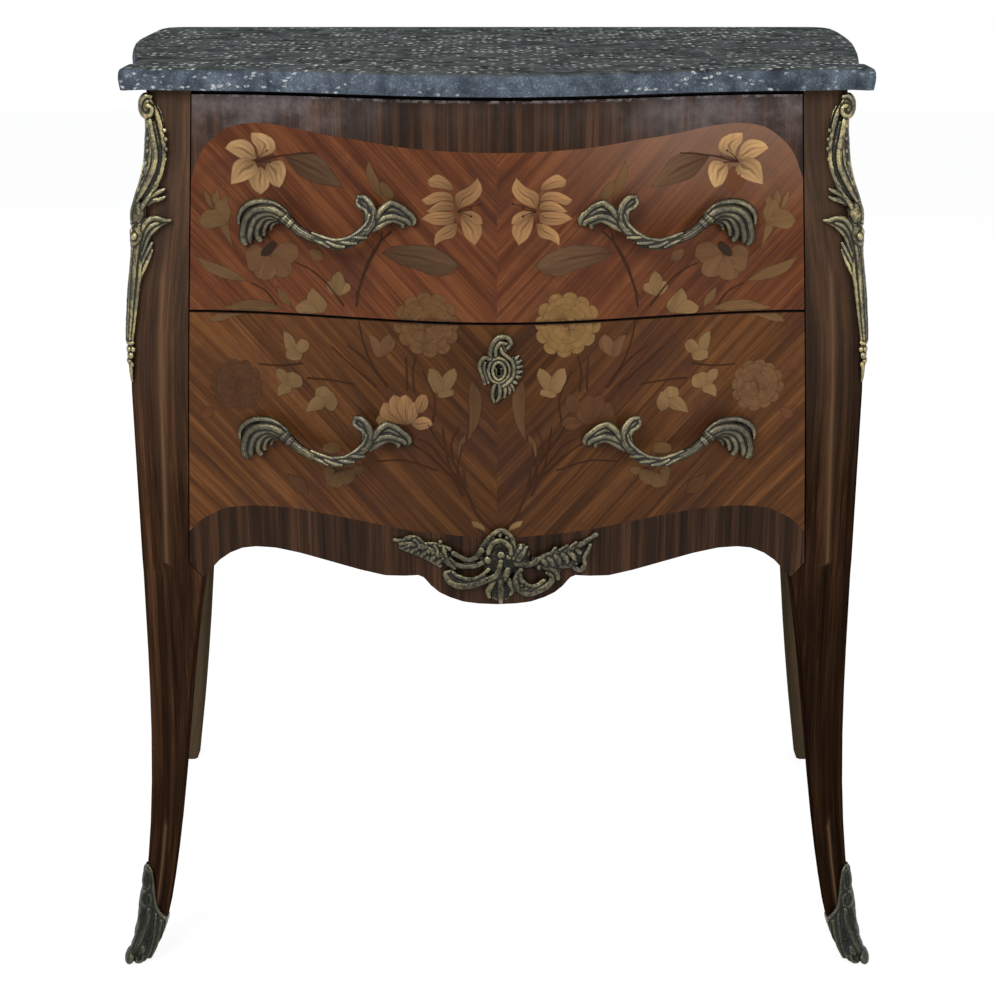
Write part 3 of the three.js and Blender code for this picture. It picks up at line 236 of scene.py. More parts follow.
def bump(tree, height, distance, strength=0.5):
    return node(tree, "Bump", {"Height": height, "Distance": distance, "Strength": strength}).outputs[0]


def object_place(tree, turn=UPRIGHT, scale=(1, 1, 1)):
    """Object coordinates, turned so that the grain's direction comes to Z."""
    return node(tree, "Mapping", {"Vector": here(tree), "Rotation": turn, "Scale": scale}).outputs[0]


def finish_surface(tree, inputs):
    shader = node(tree, "BsdfPrincipled", inputs)
    node(tree, "OutputMaterial", {"Surface": shader.outputs[0]})


def plain_wood(name, turn):
    made, tree = new_material(name)
    colour, height = wood_nodes(tree, object_place(tree, turn), OAK_GRAIN, OAK)
    dirt = between(tree, noise(tree, object_place(tree), 7, 5, 0.7), 0.35, 0.7, 0.68, 1.05)
    finish_surface(tree, {
        "Base Color": multiplied(tree, colour, dirt), "Roughness": 0.72, "Normal": bump(tree, height, 0.0006),
    })
    return made


def give(names, made):
    for name in names:
        held = nodes[name].data.materials
        held.clear()
        held.append(made)


oak_along_x = plain_wood("oak_along_x", ALONG_X)
oak_along_y = plain_wood("oak_along_y", ALONG_Y)
oak_upright = plain_wood("oak_upright", UPRIGHT)
give([f"{level}_{end}_rail" for level in LEVELS for end in ("front", "back")], oak_along_x)
give([f"{side}_{kind}" for side in SIDES for kind in ("kicker", "middle_runner", "low_runner")], oak_along_y)
give(["dust_board"], oak_along_x)
give(["back_panel"], oak_upright)
for drawer in ("upper_drawer", "lower_drawer"):
    give([f"{drawer}_{side}_side" for side in SIDES] + [f"{drawer}_bottom"], oak_along_y)
    give([f"{drawer}_back"], oak_along_x)


# Legs and stiles: solid beech under a dark crossgrained veneer, French polished. Each is one piece
# from the marble to the floor, so its grain follows the sweep of the leg.
BODY_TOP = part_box("marble_top")[0].z
APRON_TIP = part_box("lower_drawer_front")[0].z
DRAWERS_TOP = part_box("upper_drawer_front")[1].z
SPLIT_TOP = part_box("upper_drawer_front")[0].z      # where the upper drawer ends
SPLIT_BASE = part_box("lower_drawer_front")[1].z     # where the lower one begins
BODY_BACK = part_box("back_panel")[1].y
STILE_FRONT = -0.1715         # of the stiles, right under the marble
SWELL_DROP = 0.238            # how far below the marble the body swells most
FRONT_BELLY = 0.008
BELLY_RETURN = 0.005
BOW = 0.045                   # of the drawers' middle, in front of their ends
OPENING_TOP_HALF = 0.243
OPENING_LOW_HALF = 0.264      # at the shoulder
SHOULDER_Z = 0.38148
FRONT_HALF = 0.278            # half the body's width under the marble, in front and at the back
REAR_HALF = 0.324
SIDE_SWELL = 0.027            # how far the sides swell out, in front and at the back
REAR_SWELL = 0.012
KNEE_Z = 0.36793
FOOT_SPLAY = 0.028            # how far the foot sweeps out sideways and forwards
TOE_REACH = 0.020
SWEEP_POWER = 3.3
ANKLE = 0.024                 # the leg's width at the floor
KNEE_SHARE_POWER = 2.6
LEG_BULGE = 0.004             # how far the leg bends forwards between its knee and its foot
EDGE_ROUND = 0.008
FACE_TURN = 0.22              # radians that the leg's outer face turns away from the front
RIDGE_SHARE = 0.55            # of the leg's width, from its outer edge to the ridge of its face
RIDGE_HALF = 0.0015           # half the width of the painted highlight along the ridge
RIDGE_TOP = 0.70              # the leaf of the corner mount covers the ridge above this
RIDGE_FADE = 0.05
TOE_TRIM = 0.010              # how far the foot's inner corner is rounded away at the floor
TOE_TRIM_HEIGHT = 0.034
TOE_TRIM_POWER = 1.4
DARK_WOOD = (paint(33, 21, 14), paint(52, 34, 22), paint(78, 52, 35))
DARK_GRAIN = (110, 700, 0.02, 0.08)
MERGE_GAP = 0.00001
FLAT_ANGLE = math.radians(0.4)   # facets that turn by less than this are one face


def merged_copy(source, name):
    """The shape of a node as a new mesh, its facets joined."""
    old = nodes[source].data
    mesh = bpy.data.meshes.new(name)
    mesh.from_pydata([v.co[:] for v in old.vertices], [], [p.vertices[:] for p in old.polygons])
    work = bmesh.new()
    work.from_mesh(mesh)
    bmesh.ops.remove_doubles(work, verts=work.verts, dist=MERGE_GAP)
    bmesh.ops.dissolve_limit(
        work, angle_limit=FLAT_ANGLE, verts=work.verts, edges=work.edges, use_dissolve_boundaries=False,
    )
    work.to_mesh(mesh)
    work.free()
    return new_object(name, mesh)


def select_only(piece):
    bpy.ops.object.select_all(action="DESELECT")
    piece.select_set(True)
    bpy.context.view_layer.objects.active = piece


def shade(piece, angle=38):
    select_only(piece)
    bpy.ops.object.shade_smooth_by_angle(angle=math.radians(angle))


def settle(piece, body, slot, made, *replaced):
    """A finished piece gets its material and rides on its body, in place of the nodes that it stands for."""
    piece.data.materials.clear()
    piece.data.materials.append(made)
    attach(piece, body)
    if replaced:
        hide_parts(*replaced)


def read_places(piece):
    places = np.empty(len(piece.data.vertices) * 3)
    piece.data.vertices.foreach_get("co", places)
    return places.reshape(-1, 3)


def read_normals(piece):
    normals = np.empty(len(piece.data.vertices) * 3)
    piece.data.vertex_normals.foreach_get("vector", normals)
    return normals.reshape(-1, 3)


def write_places(piece, places):
    piece.data.vertices.foreach_set("co", np.asarray(places, float).ravel())
    piece.data.update()


def write_attribute(piece, name, values, kind="FLOAT"):
    layer = piece.data.attributes.new(name, kind, "POINT")
    key = {"FLOAT": "value", "FLOAT_VECTOR": "vector", "FLOAT_COLOR": "color"}[kind]
    layer.data.foreach_set(key, np.asarray(values, float).ravel())


def attribute(tree, name, output):
    return node(tree, "Attribute", attribute_name=name).outputs[output]


def ease(t):
    t = np.clip(t, 0, 1)
    return t * t * (3 - 2 * t)


def mix(a, b, t):
    return a + (b - a) * t


def swell(z):
    return ease((BODY_TOP - z) / SWELL_DROP)


def ends_y(z):
    """The front of the stiles and of the drawers' ends: it swells forward, then draws back."""
    back = ease((BODY_TOP - SWELL_DROP - z) / (BODY_TOP - SWELL_DROP - APRON_TIP))
    return STILE_FRONT - FRONT_BELLY * swell(z) + BELLY_RETURN * back


def opening_half(z):
    return mix(OPENING_TOP_HALF, OPENING_LOW_HALF, (DRAWERS_TOP - z) / (DRAWERS_TOP - SHOULDER_Z))


def front_y(x, z):
    """The serpentine face of the drawers."""
    along = np.clip(np.abs(x) / opening_half(z), 0, 1)
    return ends_y(z) - BOW * np.cos(np.pi / 2 * along) ** 2


def side_x(y, z):
    t = np.clip((y - STILE_FRONT) / (BODY_BACK - STILE_FRONT), 0, 1)
    return mix(FRONT_HALF, REAR_HALF, np.sin(np.pi / 2 * t)) + mix(SIDE_SWELL, REAR_SWELL, t) * swell(z)


def sweep(z):
    return (1 - np.clip(z / KNEE_Z, 0, 1)) ** SWEEP_POWER


def leg_width(x, z):
    share = np.clip(z / KNEE_Z, 0, 1)
    knee_width = side_x(STILE_FRONT, KNEE_Z) - opening_half(KNEE_Z)
    return np.where(z > KNEE_Z, x - opening_half(z), mix(ANKLE, knee_width, share ** KNEE_SHARE_POWER))


def leg_edge(z):
    """The round outer edge of a front leg at a height: its outermost x, and its rounding's centre in y."""
    share = np.clip(z / KNEE_Z, 0, 1)
    y = ends_y(np.maximum(z, APRON_TIP)) + LEG_BULGE * np.sin(np.pi * share) - TOE_REACH * sweep(z)
    x = side_x(y + 2 * EDGE_ROUND, z) + FOOT_SPLAY * sweep(z)
    to_ridge = RIDGE_SHARE * leg_width(x, z) - EDGE_ROUND * (1 - math.sin(FACE_TURN))
    return x, y + math.tan(FACE_TURN) * to_ridge + EDGE_ROUND * math.cos(FACE_TURN)


def polish(tree, colour, height, roughness=0.34, gloss=0.06):
    """The shellac over a veneer: soft gloss, with worn patches and a slight ripple of the grain."""
    cloud = noise(tree, here(tree), 9, 4)
    finish_surface(tree, {
        "Base Color": multiplied(tree, colour, between(tree, cloud, 0.3, 0.75, 0.9, 1.08)),
        "Roughness": between(tree, cloud, 0.3, 0.7, roughness - 0.07, roughness + 0.13),
        "Specular IOR Level": gloss, "Coat Weight": gloss * 0.6, "Coat Roughness": 0.22,
        "Normal": bump(tree, height, 0.0004),
    })


def dark_veneer(name, place_of, recolour=None, gloss=0.06):
    made, tree = new_material(name)
    colour, height = wood_nodes(tree, place_of(tree), DARK_GRAIN, DARK_WOOD)
    if recolour:
        colour = recolour(tree, colour)
    polish(tree, colour, height, gloss=gloss)
    return made


def leg_tone_and_light(tree, colour):
    """Legs get darker towards the floor. The left leg is painted lighter and the right one darker, as painted
    light from the left. A pale painted sheen lies near their top, and a painted highlight along their ridge."""
    place = parts(tree, here(tree))
    tone_and_side_light = between(tree, place[2], 0.1, 0.5, 0.56, 1.1)
    # painted light: the left leg lighter, the right one darker
    tone_and_side_light = reckon(tree, "MULTIPLY", tone_and_side_light, between(tree, place[0], -0.3, 0.3, 1.32, 0.7))
    # a pale painted sheen near the top of the legs
    sheen = between(tree, place[2], 0.45, 0.7, 0, 0.11)
    with_sheen = blend(tree, sheen, multiplied(tree, colour, tone_and_side_light), paint(150, 128, 112))
    # a painted highlight along the ridge of the front legs
    ridge = reckon(tree, "POWER", attribute(tree, "ridge", "Fac"), 10)
    return blend(tree, reckon(tree, "MULTIPLY", ridge, 0.5), with_sheen, paint(134, 100, 74))


def rear_tone(tree, colour):
    """The rear legs are paler and greyer than the front ones."""
    return blend(tree, 0.46, colour, paint(99, 88, 68))


def leg_grain(tree):
    return attribute(tree, "grain", "Vector")


leg_veneer = dark_veneer("leg_veneer", leg_grain, leg_tone_and_light, 0)
rear_veneer = dark_veneer("rear_leg_veneer", leg_grain, rear_tone, 0)
for side, sign in (("left", -1), ("right", 1)):
    for end, made in (("front", leg_veneer), ("rear", rear_veneer)):
        leg = merged_copy(f"{end}_{side}_leg", f"{side}_{end}_leg_veneer")
        places = read_places(leg)
        grain = places.copy()
        grain[:, 0] -= sign * side_x(places[:, 1], places[:, 2]) + sign * FOOT_SPLAY * sweep(places[:, 2])
        grain[:, 1] += TOE_REACH * sweep(places[:, 2]) * (end == "front")
        write_attribute(leg, "grain", grain, "FLOAT_VECTOR")
        edge_x, edge_y = leg_edge(places[:, 2])
        inwards = edge_x - np.abs(places[:, 0])
        # the ridge line of the front legs, where a painted highlight is laid
        off_ridge = np.abs(inwards - RIDGE_SHARE * leg_width(edge_x, places[:, 2]))
        on_ridge = (off_ridge < RIDGE_HALF) & (places[:, 1] < edge_y) & (end == "front")
        write_attribute(leg, "ridge", on_ridge * np.clip((RIDGE_TOP - places[:, 2]) / RIDGE_FADE, 0, 1))
        if end == "front":
            low = np.clip(1 - places[:, 2] / TOE_TRIM_HEIGHT, 0, 1) ** TOE_TRIM_POWER
            places[:, 0] += sign * TOE_TRIM * low * np.clip(inwards / ANKLE, 0, 1)
            write_places(leg, places)
        shade(leg, 50)
        settle(leg, "carcass", "dark_veneer", made, f"{end}_{side}_leg")


# Sides: swelling panels of oak, with a field of slanting veneer inside a dark crossbanding. A pale
# line of stringing is let in between the two, and the whole is polished.
SLANT = math.radians(47)      # of the tulipwood's grain, above the horizontal
TULIPWOOD_BROWN = (paint(60, 36, 19), paint(80, 48, 24), paint(99, 62, 33))
TULIPWOOD_GRAIN = (120, 640, 0.03, 0.5)
SIDE_BAND = 0.034             # how wide the crossbanding is at the panel's edges
SIDE_FIELD_LOW = 0.50
STRING_HALF = 0.0007          # half the pale line between the field and the crossbanding
SOFT_EDGE = 0.0002            # over which one wood changes to another, to each side of the joint
STRING_EDGE = 0.0003
CROSS_RUN = 0.02              # crossbanding: its grain is this much longer than it is across
SHEET_STEP = 0.31             # from the grain of one half to the grain of the other


def mirrored_slant(tree, across=0, middle=0):
    """A place whose Z runs along grain that rises outwards from a middle, across X (0) or Y (1)."""
    place = parts(tree, here(tree))
    off = reckon(tree, "SUBTRACT", place[across], middle)
    sheet = reckon(tree, "MULTIPLY", reckon(tree, "SIGN", off), SHEET_STEP)
    flat = node(tree, "CombineXYZ", {0: reckon(tree, "ABSOLUTE", off), 1: sheet, 2: place[2]})
    turn = (0, SLANT - math.radians(90), 0)
    return node(tree, "Mapping", {"Vector": flat.outputs[0], "Rotation": turn}).outputs[0]


def framed_side(name):
    made, tree = new_material(name)
    low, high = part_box("left_side_panel")
    banding, height = wood_nodes(tree, object_place(tree, scale=(CROSS_RUN, 1, 1)), DARK_GRAIN, DARK_WOOD)
    slanting = mirrored_slant(tree, 1, (low.y + high.y) / 2)
    field, field_height = wood_nodes(tree, slanting, TULIPWOOD_GRAIN, TULIPWOOD_BROWN)
    place = parts(tree, here(tree))
    # how far a place lies inside the field's four edges
    edges = (
        (1, 1, low.y + SIDE_BAND), (1, -1, high.y - SIDE_BAND), (2, 1, SIDE_FIELD_LOW),
        (2, -1, BODY_TOP - SIDE_BAND),
    )
    gaps = [reckon(tree, "MULTIPLY_ADD", place[axis], way, -way * edge) for axis, way, edge in edges]
    inside = gaps[0]
    for gap in gaps[1:]:
        inside = reckon(tree, "MINIMUM", inside, gap)
    share = between(tree, inside, -SOFT_EDGE, SOFT_EDGE)
    string = between(tree, reckon(tree, "ABSOLUTE", inside), STRING_HALF, STRING_HALF + STRING_EDGE, 1, 0)
    strung = blend(tree, string, blend(tree, share, banding, field), paint(116, 88, 56))
    polish(tree, strung, mean_height(tree, share, height, field_height))
    return made


side_veneer = framed_side("side_veneer")
for side in SIDES:
    panel = merged_copy(f"{side}_side_panel", f"{side}_side_veneer")
    shade(panel)
    settle(panel, "carcass", "dark_veneer", side_veneer, f"{side}_side_panel")


# Drawer fronts: thick curved boards, faced with tulipwood whose grain meets in a V at the middle,
# between dark crossbandings with upright grain. Each sheet is glued on and polished.
VENEER_LIFT = 0.0006          # how far the veneer stands in front of the board's face
VENEER_THICKNESS = 0.0011
SHEET_COLUMNS = 240
SEAM_SHADOW_MARGIN = 0.0006            # how far the veneer stops short where the two drawers meet, so that the nearly black board shows there as painted shadow
SHEEN_HEIGHTS = (0.738, 0.772)        # the heights between which a painted sheen lies on the upper crossbanding
# the heights of the painted highlights along the upper drawer's top edge
EDGE_GLINT_HEIGHTS = (0.7762, 0.7778)
TULIPWOOD_RED = (paint(76, 41, 25), paint(98, 55, 32), paint(114, 68, 40))
# The joints between the fields and the crossbandings: from the middle outwards, and above the floor
UPPER_BAND_EDGE = (
    (0, 0.739), (0.044, 0.740), (0.076, 0.742), (0.107, 0.746), (0.140, 0.750), (0.168, 0.755),
    (0.187, 0.757), (0.204, 0.756), (0.217, 0.752), (0.227, 0.745), (0.235, 0.737), (0.241, 0.727),
    (0.2463, 0.712),
)
LOWER_BAND_EDGE = (
    (0, 0.421), (0.039, 0.423), (0.072, 0.425), (0.106, 0.429), (0.140, 0.433), (0.175, 0.436),
    (0.199, 0.436), (0.215, 0.435), (0.231, 0.432), (0.242, 0.427), (0.253, 0.420), (0.2618, 0.411),
)


def through(points, x):
    """The height at x of a smooth line through points, the same on both sides of the middle."""
    px, pz = np.array(points).T
    slope = np.gradient(pz, px)
    slope[0] = 0
    x = np.clip(np.abs(x), 0, px[-1])
    i = np.clip(np.searchsorted(px, x) - 1, 0, len(px) - 2)
    span = px[i + 1] - px[i]
    t = (x - px[i]) / span
    return ((1 + 2 * t) * (1 - t) ** 2 * pz[i] + t * (1 - t) ** 2 * span * slope[i]
            + t * t * (3 - 2 * t) * pz[i + 1] + t * t * (t - 1) * span * slope[i + 1])


def apron_edge():
    """The scalloped lower edge, read from the frame: distance from the middle, and height."""
    places = read_places(nodes["lower_drawer_front"])
    on_face = places[np.abs(places[:, 1] - front_y(places[:, 0], places[:, 2])) < 0.0001]
    share = np.round(np.abs(on_face[:, 0]) / opening_half(on_face[:, 2]), 3)
    lowest = [(key * opening_half(on_face[share == key, 2].min()), on_face[share == key, 2].min())
              for key in np.unique(share)]
    return tuple((x, z) for x, z in lowest if z < LOWER_BAND_EDGE[0][1])


def apply_modifier(piece, kind, **settings):
    select_only(piece)
    bpy.ops.object.modifier_add(type=kind)
    modifier = piece.modifiers[-1]
    for key, value in settings.items():
        setattr(modifier, key, value)
    bpy.ops.object.modifier_apply(modifier=modifier.name)


def sheet_on_front(name, rows, low, high):
    """A sheet laid on the serpentine face, between two heights that are given by functions of x."""
    bpy.ops.object.select_all(action="DESELECT")
    bpy.ops.mesh.primitive_grid_add(x_subdivisions=SHEET_COLUMNS, y_subdivisions=rows, size=2)
    made = bpy.context.object
    made.name = made.data.name = name
    places = read_places(made)
    u, v = places[:, 0], (places[:, 1] + 1) / 2
    x = u * OPENING_TOP_HALF
    # the opening widens downwards, so x and z are found by turns
    for _ in range(6):
        z = mix(low(x), high(x), v)
        x = u * opening_half(z)
    write_places(made, np.stack([x, front_y(x, z) - VENEER_LIFT, z], axis=1))
    apply_modifier(made, "SOLIDIFY", thickness=VENEER_THICKNESS, offset=-1)
    shade(made)
    return made


def painted_top_sheen(tree, colour):
    """A painted sheen near the top of the drawer, towards its sides, and painted highlights in patches along
    its top edge.
    """
    start = here(tree)
    place = parts(tree, start)
    # a painted sheen near the top, towards both sides
    sheen = between(tree, place[2], *SHEEN_HEIGHTS, 0.04, 0.42)
    for share in (
        between(tree, reckon(tree, "ABSOLUTE", place[0]), 0.08, 0.15, 0.12, 1),
        between(tree, noise(tree, start, 24, 5, 0.7), 0.4, 0.6, 0.25, 1),
    ):
        sheen = reckon(tree, "MULTIPLY", sheen, share)
    # painted highlights in patches along the top edge
    edge_glint = between(tree, noise(tree, start, 170, 3, 0.7), 0.44, 0.6, 0, 0.75)
    pale = reckon(tree, "MULTIPLY", edge_glint, between(tree, place[2], *EDGE_GLINT_HEIGHTS))
    return blend(tree, reckon(tree, "MAXIMUM", sheen, pale), colour, paint(160, 150, 150))


def gap_shadow_tone(tree, colour):
    """Nearly black: painted shadow on the boards' edges and on the rail under the marble, where the gaps are
    in shade.
    """
    return multiplied(tree, colour, (0.3, 0.3, 0.3, 1))


def tulipwood(name, colours, inner, outer, sheen):
    """Tulipwood that is darker or paler at the middle than outwards, purple in places, and with a painted
    sheen at its upper right."""
    made, tree = new_material(name)
    colour, height = wood_nodes(tree, mirrored_slant(tree), TULIPWOOD_GRAIN, colours)
    start = here(tree)
    place = parts(tree, start)
    off = reckon(tree, "ABSOLUTE", place[0])
    toned = multiplied(tree, colour, between(tree, off, 0.03, 0.2, inner, outer))
    purple = between(tree, noise(tree, start, 17, 4, 0.62, 0.6), 0.5, 0.66, 0, 0.42)
    toned = blend(tree, purple, toned, paint(62, 37, 31))
    # a painted sheen at the upper right
    sheen_share = between(tree, place[2], 0.68, 0.755, 0, sheen)
    sheen_share = reckon(tree, "MULTIPLY", sheen_share, between(tree, place[0], 0.02, 0.14))
    polish(tree, blend(tree, sheen_share, toned, paint(170, 136, 114)), height, roughness=0.36)
    return made


def upright_grain(tree):
    return object_place(tree, scale=(1, CROSS_RUN, 1))


def upper_band_at(x):
    return through(UPPER_BAND_EDGE, x)


def lower_band_at(x):
    return through(LOWER_BAND_EDGE, x)


def apron_at(x):
    return np.interp(np.abs(x), *np.array(apron).T)


def level(z):
    def height(x):
        return np.full_like(x, z)
    return height


# the upper field has a painted sheen at its upper right; the lower one has none
upper_field_wood = tulipwood("upper_tulipwood", TULIPWOOD_RED, 1.04, 1.04, 0.36)
lower_field_wood = tulipwood("lower_tulipwood", TULIPWOOD_BROWN, 0.9, 1.36, 0)
band_wood = dark_veneer("crossbanding", upright_grain)
# the upper crossbanding carries a painted sheen and painted edge highlights
upper_band_wood = dark_veneer("crossbanding_painted_sheen", upright_grain, painted_top_sheen)
# nearly black wood: painted shadow in the gaps
gap_shadow_wood = dark_veneer("gap_shadow_veneer", object_place, gap_shadow_tone)
apron = apron_edge()
# Sheets of veneer: drawer, name, lower and upper edge, rows of facets, wood and colour slot
SHEETS = (
    ("upper", "band", upper_band_at, level(DRAWERS_TOP), 10, upper_band_wood, "dark_veneer"),
    ("upper", "field", level(SPLIT_TOP + SEAM_SHADOW_MARGIN), upper_band_at, 30, upper_field_wood, "veneer"),
    ("lower", "field", lower_band_at, level(SPLIT_BASE - SEAM_SHADOW_MARGIN), 40, lower_field_wood, "veneer"),
    ("lower", "band", apron_at, lower_band_at, 10, band_wood, "dark_veneer"),
)
for drawer, kind, low, high, rows, made, slot in SHEETS:
    settle(sheet_on_front(f"{drawer}_{kind}", rows, low, high), f"{drawer}_drawer", slot, made)
# the upper board and the rail under the marble are nearly black, as painted shadow in the gaps
give(["upper_drawer_front", "top_front_rail"], gap_shadow_wood)


# Marquetry: flowers and leaves of sycamore, box and stained maple, sawn out, shaded by dipping their
# edges in hot sand, and let into the tulipwood. The halves mirror each other and have faded unevenly.
MILLIMETRE = 0.001
WOODS = {
    "pale": (190, 148, 101), "peach": (163, 120, 79), "gold": (134, 101, 60), "husk": (116, 82, 50),
    "leaf": (133, 102, 66), "ochre": (117, 87, 55), "olive": (110, 80, 50), "moss": (99, 70, 44),
    "ghost": (114, 80, 52), "faint": (93, 60, 37), "dusk": (99, 72, 50), "rust": (108, 66, 42),
    "dark": (54, 38, 27),
}
VEINED = ("pale", "peach", "dusk")
LEFT_FADE = 0.885
INLAY_LIFT = 0.00012          # in front of the veneer around it, where the old wood has swollen
INLAY_THICKNESS = 0.0002
LAYER_STEP = 0.000002         # from one piece of wood to the next one, where they overlap
SAW_LINE = 0.0006             # the dark glue line inside a piece's edge
INLAY_GRID = 0.0028
INLAY_GRAIN = (180, 900, 0.06, 0.08)
GRAIN_STEP = 0.037            # from the grain of one piece to the next one's
BLADE_STEPS = 17
HALF_TONE = 0.1               # how much lighter one half of a veined piece is, and darker the other
TONE_LOW = 0.97               # the darkest piece of a wood, in shares of its colour
TONE_SPREAD = 0.06
TONE_STEP = 0.618             # of the spread, from one piece to the next
SCORCHED_PART = 0.6           # of a piece's length, from its base
# How brown the hot sand made the base of each kind of piece
ROSE_SCORCH = 0.75
VEINED_SCORCH = 0.6
PLAIN_SCORCH = 0.2
STEM_COLOUR = (62, 36, 20)
STEM_WIDENING = 1.6
STEM_TIP = 0.55               # of the stem's width
ANTHER = 0.9                  # millimetres, the dark dot at the end of a stamen
# Each piece of wood: its kind on the right, and on the left where that differs, then its outline in
# millimetres from the middle and above the floor: one side from its base to its tip, and the other side
UPPER_PIECES = (
    # the lily at the middle
    ("peach", ((31.5, 695), (18.5, 700.5), (11.5, 710), (15, 720)), ((32.5, 706.5), (22, 713))),
    ("peach", ((33.5, 709), (36.5, 716), (46.5, 722), (54.5, 717.5)), ((44.5, 711), (53, 712.5))),
    ("peach", ((33, 701), (37, 707.5), (48.5, 708), (60, 701.5)), ((43, 701.5), (54, 697.5))),
    ("peach", ((33, 694), (35, 700), (45.5, 700.5), (56, 692.5)), ((44.5, 693.5), (51, 691.5))),
    ("peach", ((32.5, 692.5), (44.5, 693), (54, 691), (60, 686.5)), ((35, 684), (48, 682))),
    ("peach", ((30.5, 684), (39, 682.5), (48.5, 675), (49.5, 665.5)), ((33.5, 673.5), (43, 670))),
    ("peach", ((29, 690.5), (28, 681), (24.5, 672.5), (17, 666.5)), ((15.5, 686), (11.5, 677.5))),
    ("peach", ((30.5, 692), (21, 694), (13, 690), (11, 683.5)), ((22, 687.5), (16.5, 683))),
    # the lily in the upper corner, and the leaf beside it
    ("dusk", ((170, 732), (153.5, 735.5), (139, 731.5), (130, 720), (122, 708.5)), ((163.5, 723),
     (154.5, 714.5), (137.5, 710))),
    ("pale", ((190.5, 729), (177.5, 735), (178, 744), (186.5, 749), (196.5, 749.5)), ((192, 737),
     (196, 742.5))),
    ("pale", ((192.5, 728.5), (195, 739), (202.5, 744), (213, 742), (218, 736.5)), ((202.5, 727.5),
     (211.5, 732))),
    ("rust", "pale", ((189.5, 723), (183.5, 717), (183, 707), (190, 700)), ((199.5, 714.5),
     (196.5, 705))),
    ("pale", ((193.5, 726), (191.5, 718), (202, 711), (214.5, 707.5)), ((201.5, 729.5), (210.5, 726),
     (213.5, 717.5))),
    ("pale", ((184, 726), (172.5, 728), (168.5, 720.5), (171, 711), (174.5, 706)), ((185.5, 720),
     (181.5, 709.5))),
    # the tulip over the handle
    ("olive", ((91, 699.5), (93, 714), (97.5, 723.5), (101, 731)), ((99.5, 710), (103.5, 722))),
    ("olive", ((83.5, 698.5), (81, 705), (85, 711.5), (91, 715)), ((90.5, 704.5), (93.5, 711))),
    # the long leaf under the handle, and a bud
    ("dusk", ((92, 658), (82, 664), (60, 666), (43.5, 661.5), (30, 651)), ((78, 650), (65, 646.5),
     (49, 641.5), (35.5, 644.5))),
    ("ghost", ((139, 649.5), (141.5, 656.5), (147.5, 658.5), (151, 657.5)), ((147, 649), (150, 653))),
    # the iris at the edge, and the long leaf below it
    ("ochre", ((217.5, 678), (215.5, 663.5), (212, 652), (204.5, 640.5)), ((224, 672.5), (216.5, 660))),
    ("ochre", ((220, 685), (217, 693), (218.5, 700)), ((223, 693),)),
    ("ochre", ((225.5, 688), (223.5, 698), (225.5, 704.5)), ((230, 696),)),
    ("ochre", ((229.5, 686.5), (231, 696), (236.5, 704.5)), ((235, 694),)),
    ("ochre", ((218, 675.5), (215, 685.5), (219, 693), (225.5, 696)), ((226, 679.5), (228.5, 688))),
    ("ochre", ((218, 675.5), (225.5, 686.5), (236, 686), (242.5, 678)), ((226.5, 673), (236.5, 671.5))),
    ("ochre", ((202.5, 629.5), (217.5, 639), (232.5, 644.5), (245.5, 649.5)), ((219.5, 630.5),
     (236, 637))),
    # the flower at the handle's end
    ("ghost", ((183, 653), (172.5, 663), (161.5, 660.5), (159.5, 652)), ((178, 646.5), (168, 645))),
    ("ghost", ((183, 653), (168, 647), (165.5, 638.5), (171.5, 634)), ((183.5, 641), (178.5, 634.5))),
    ("ghost", ((185, 652.5), (178.5, 639.5), (183.5, 632), (190.5, 631)), ((197, 644), (196.5, 634))),
    ("ghost", ((186.5, 654.5), (193.5, 639), (201.5, 639), (203.5, 645.5)), ((196.5, 660.5),
     (204, 653.5))),
    ("dark", ((178, 661.5), (182, 663), (190, 656), (192, 651)), ((180.5, 655.5), (186.5, 650.5))),
    # small leaves along the lower edge
    ("leaf", ((128, 621), (121.5, 624), (117.5, 627.5), (118, 631.5)), ((129.5, 629), (123.5, 633))),
    ("leaf", ((128, 621), (134.5, 623), (138, 628.5), (136.5, 633)), ((128.5, 630), (132, 633))),
    ("leaf", ((128, 621), (122.5, 631), (123.5, 638), (127, 642)), ((133, 630.5), (132, 637.5))),
    ("leaf", ((141, 606), (137, 613.5), (143, 621.5), (149.5, 627)), ((153, 610), (154, 619.5))),
    ("leaf", ((143.5, 606.5), (150, 615.5), (157, 616), (164.5, 610.5)), ((155.5, 605), (162.5, 606))),
    ("olive", ((167.5, 609.5), (169.5, 618.5), (179, 627)), ((176.5, 615.5),)),
    ("olive", ((174, 608), (187.5, 613.5), (203, 614.5), (226.5, 607)), ((189.5, 605.5), (207, 604.5))),
)
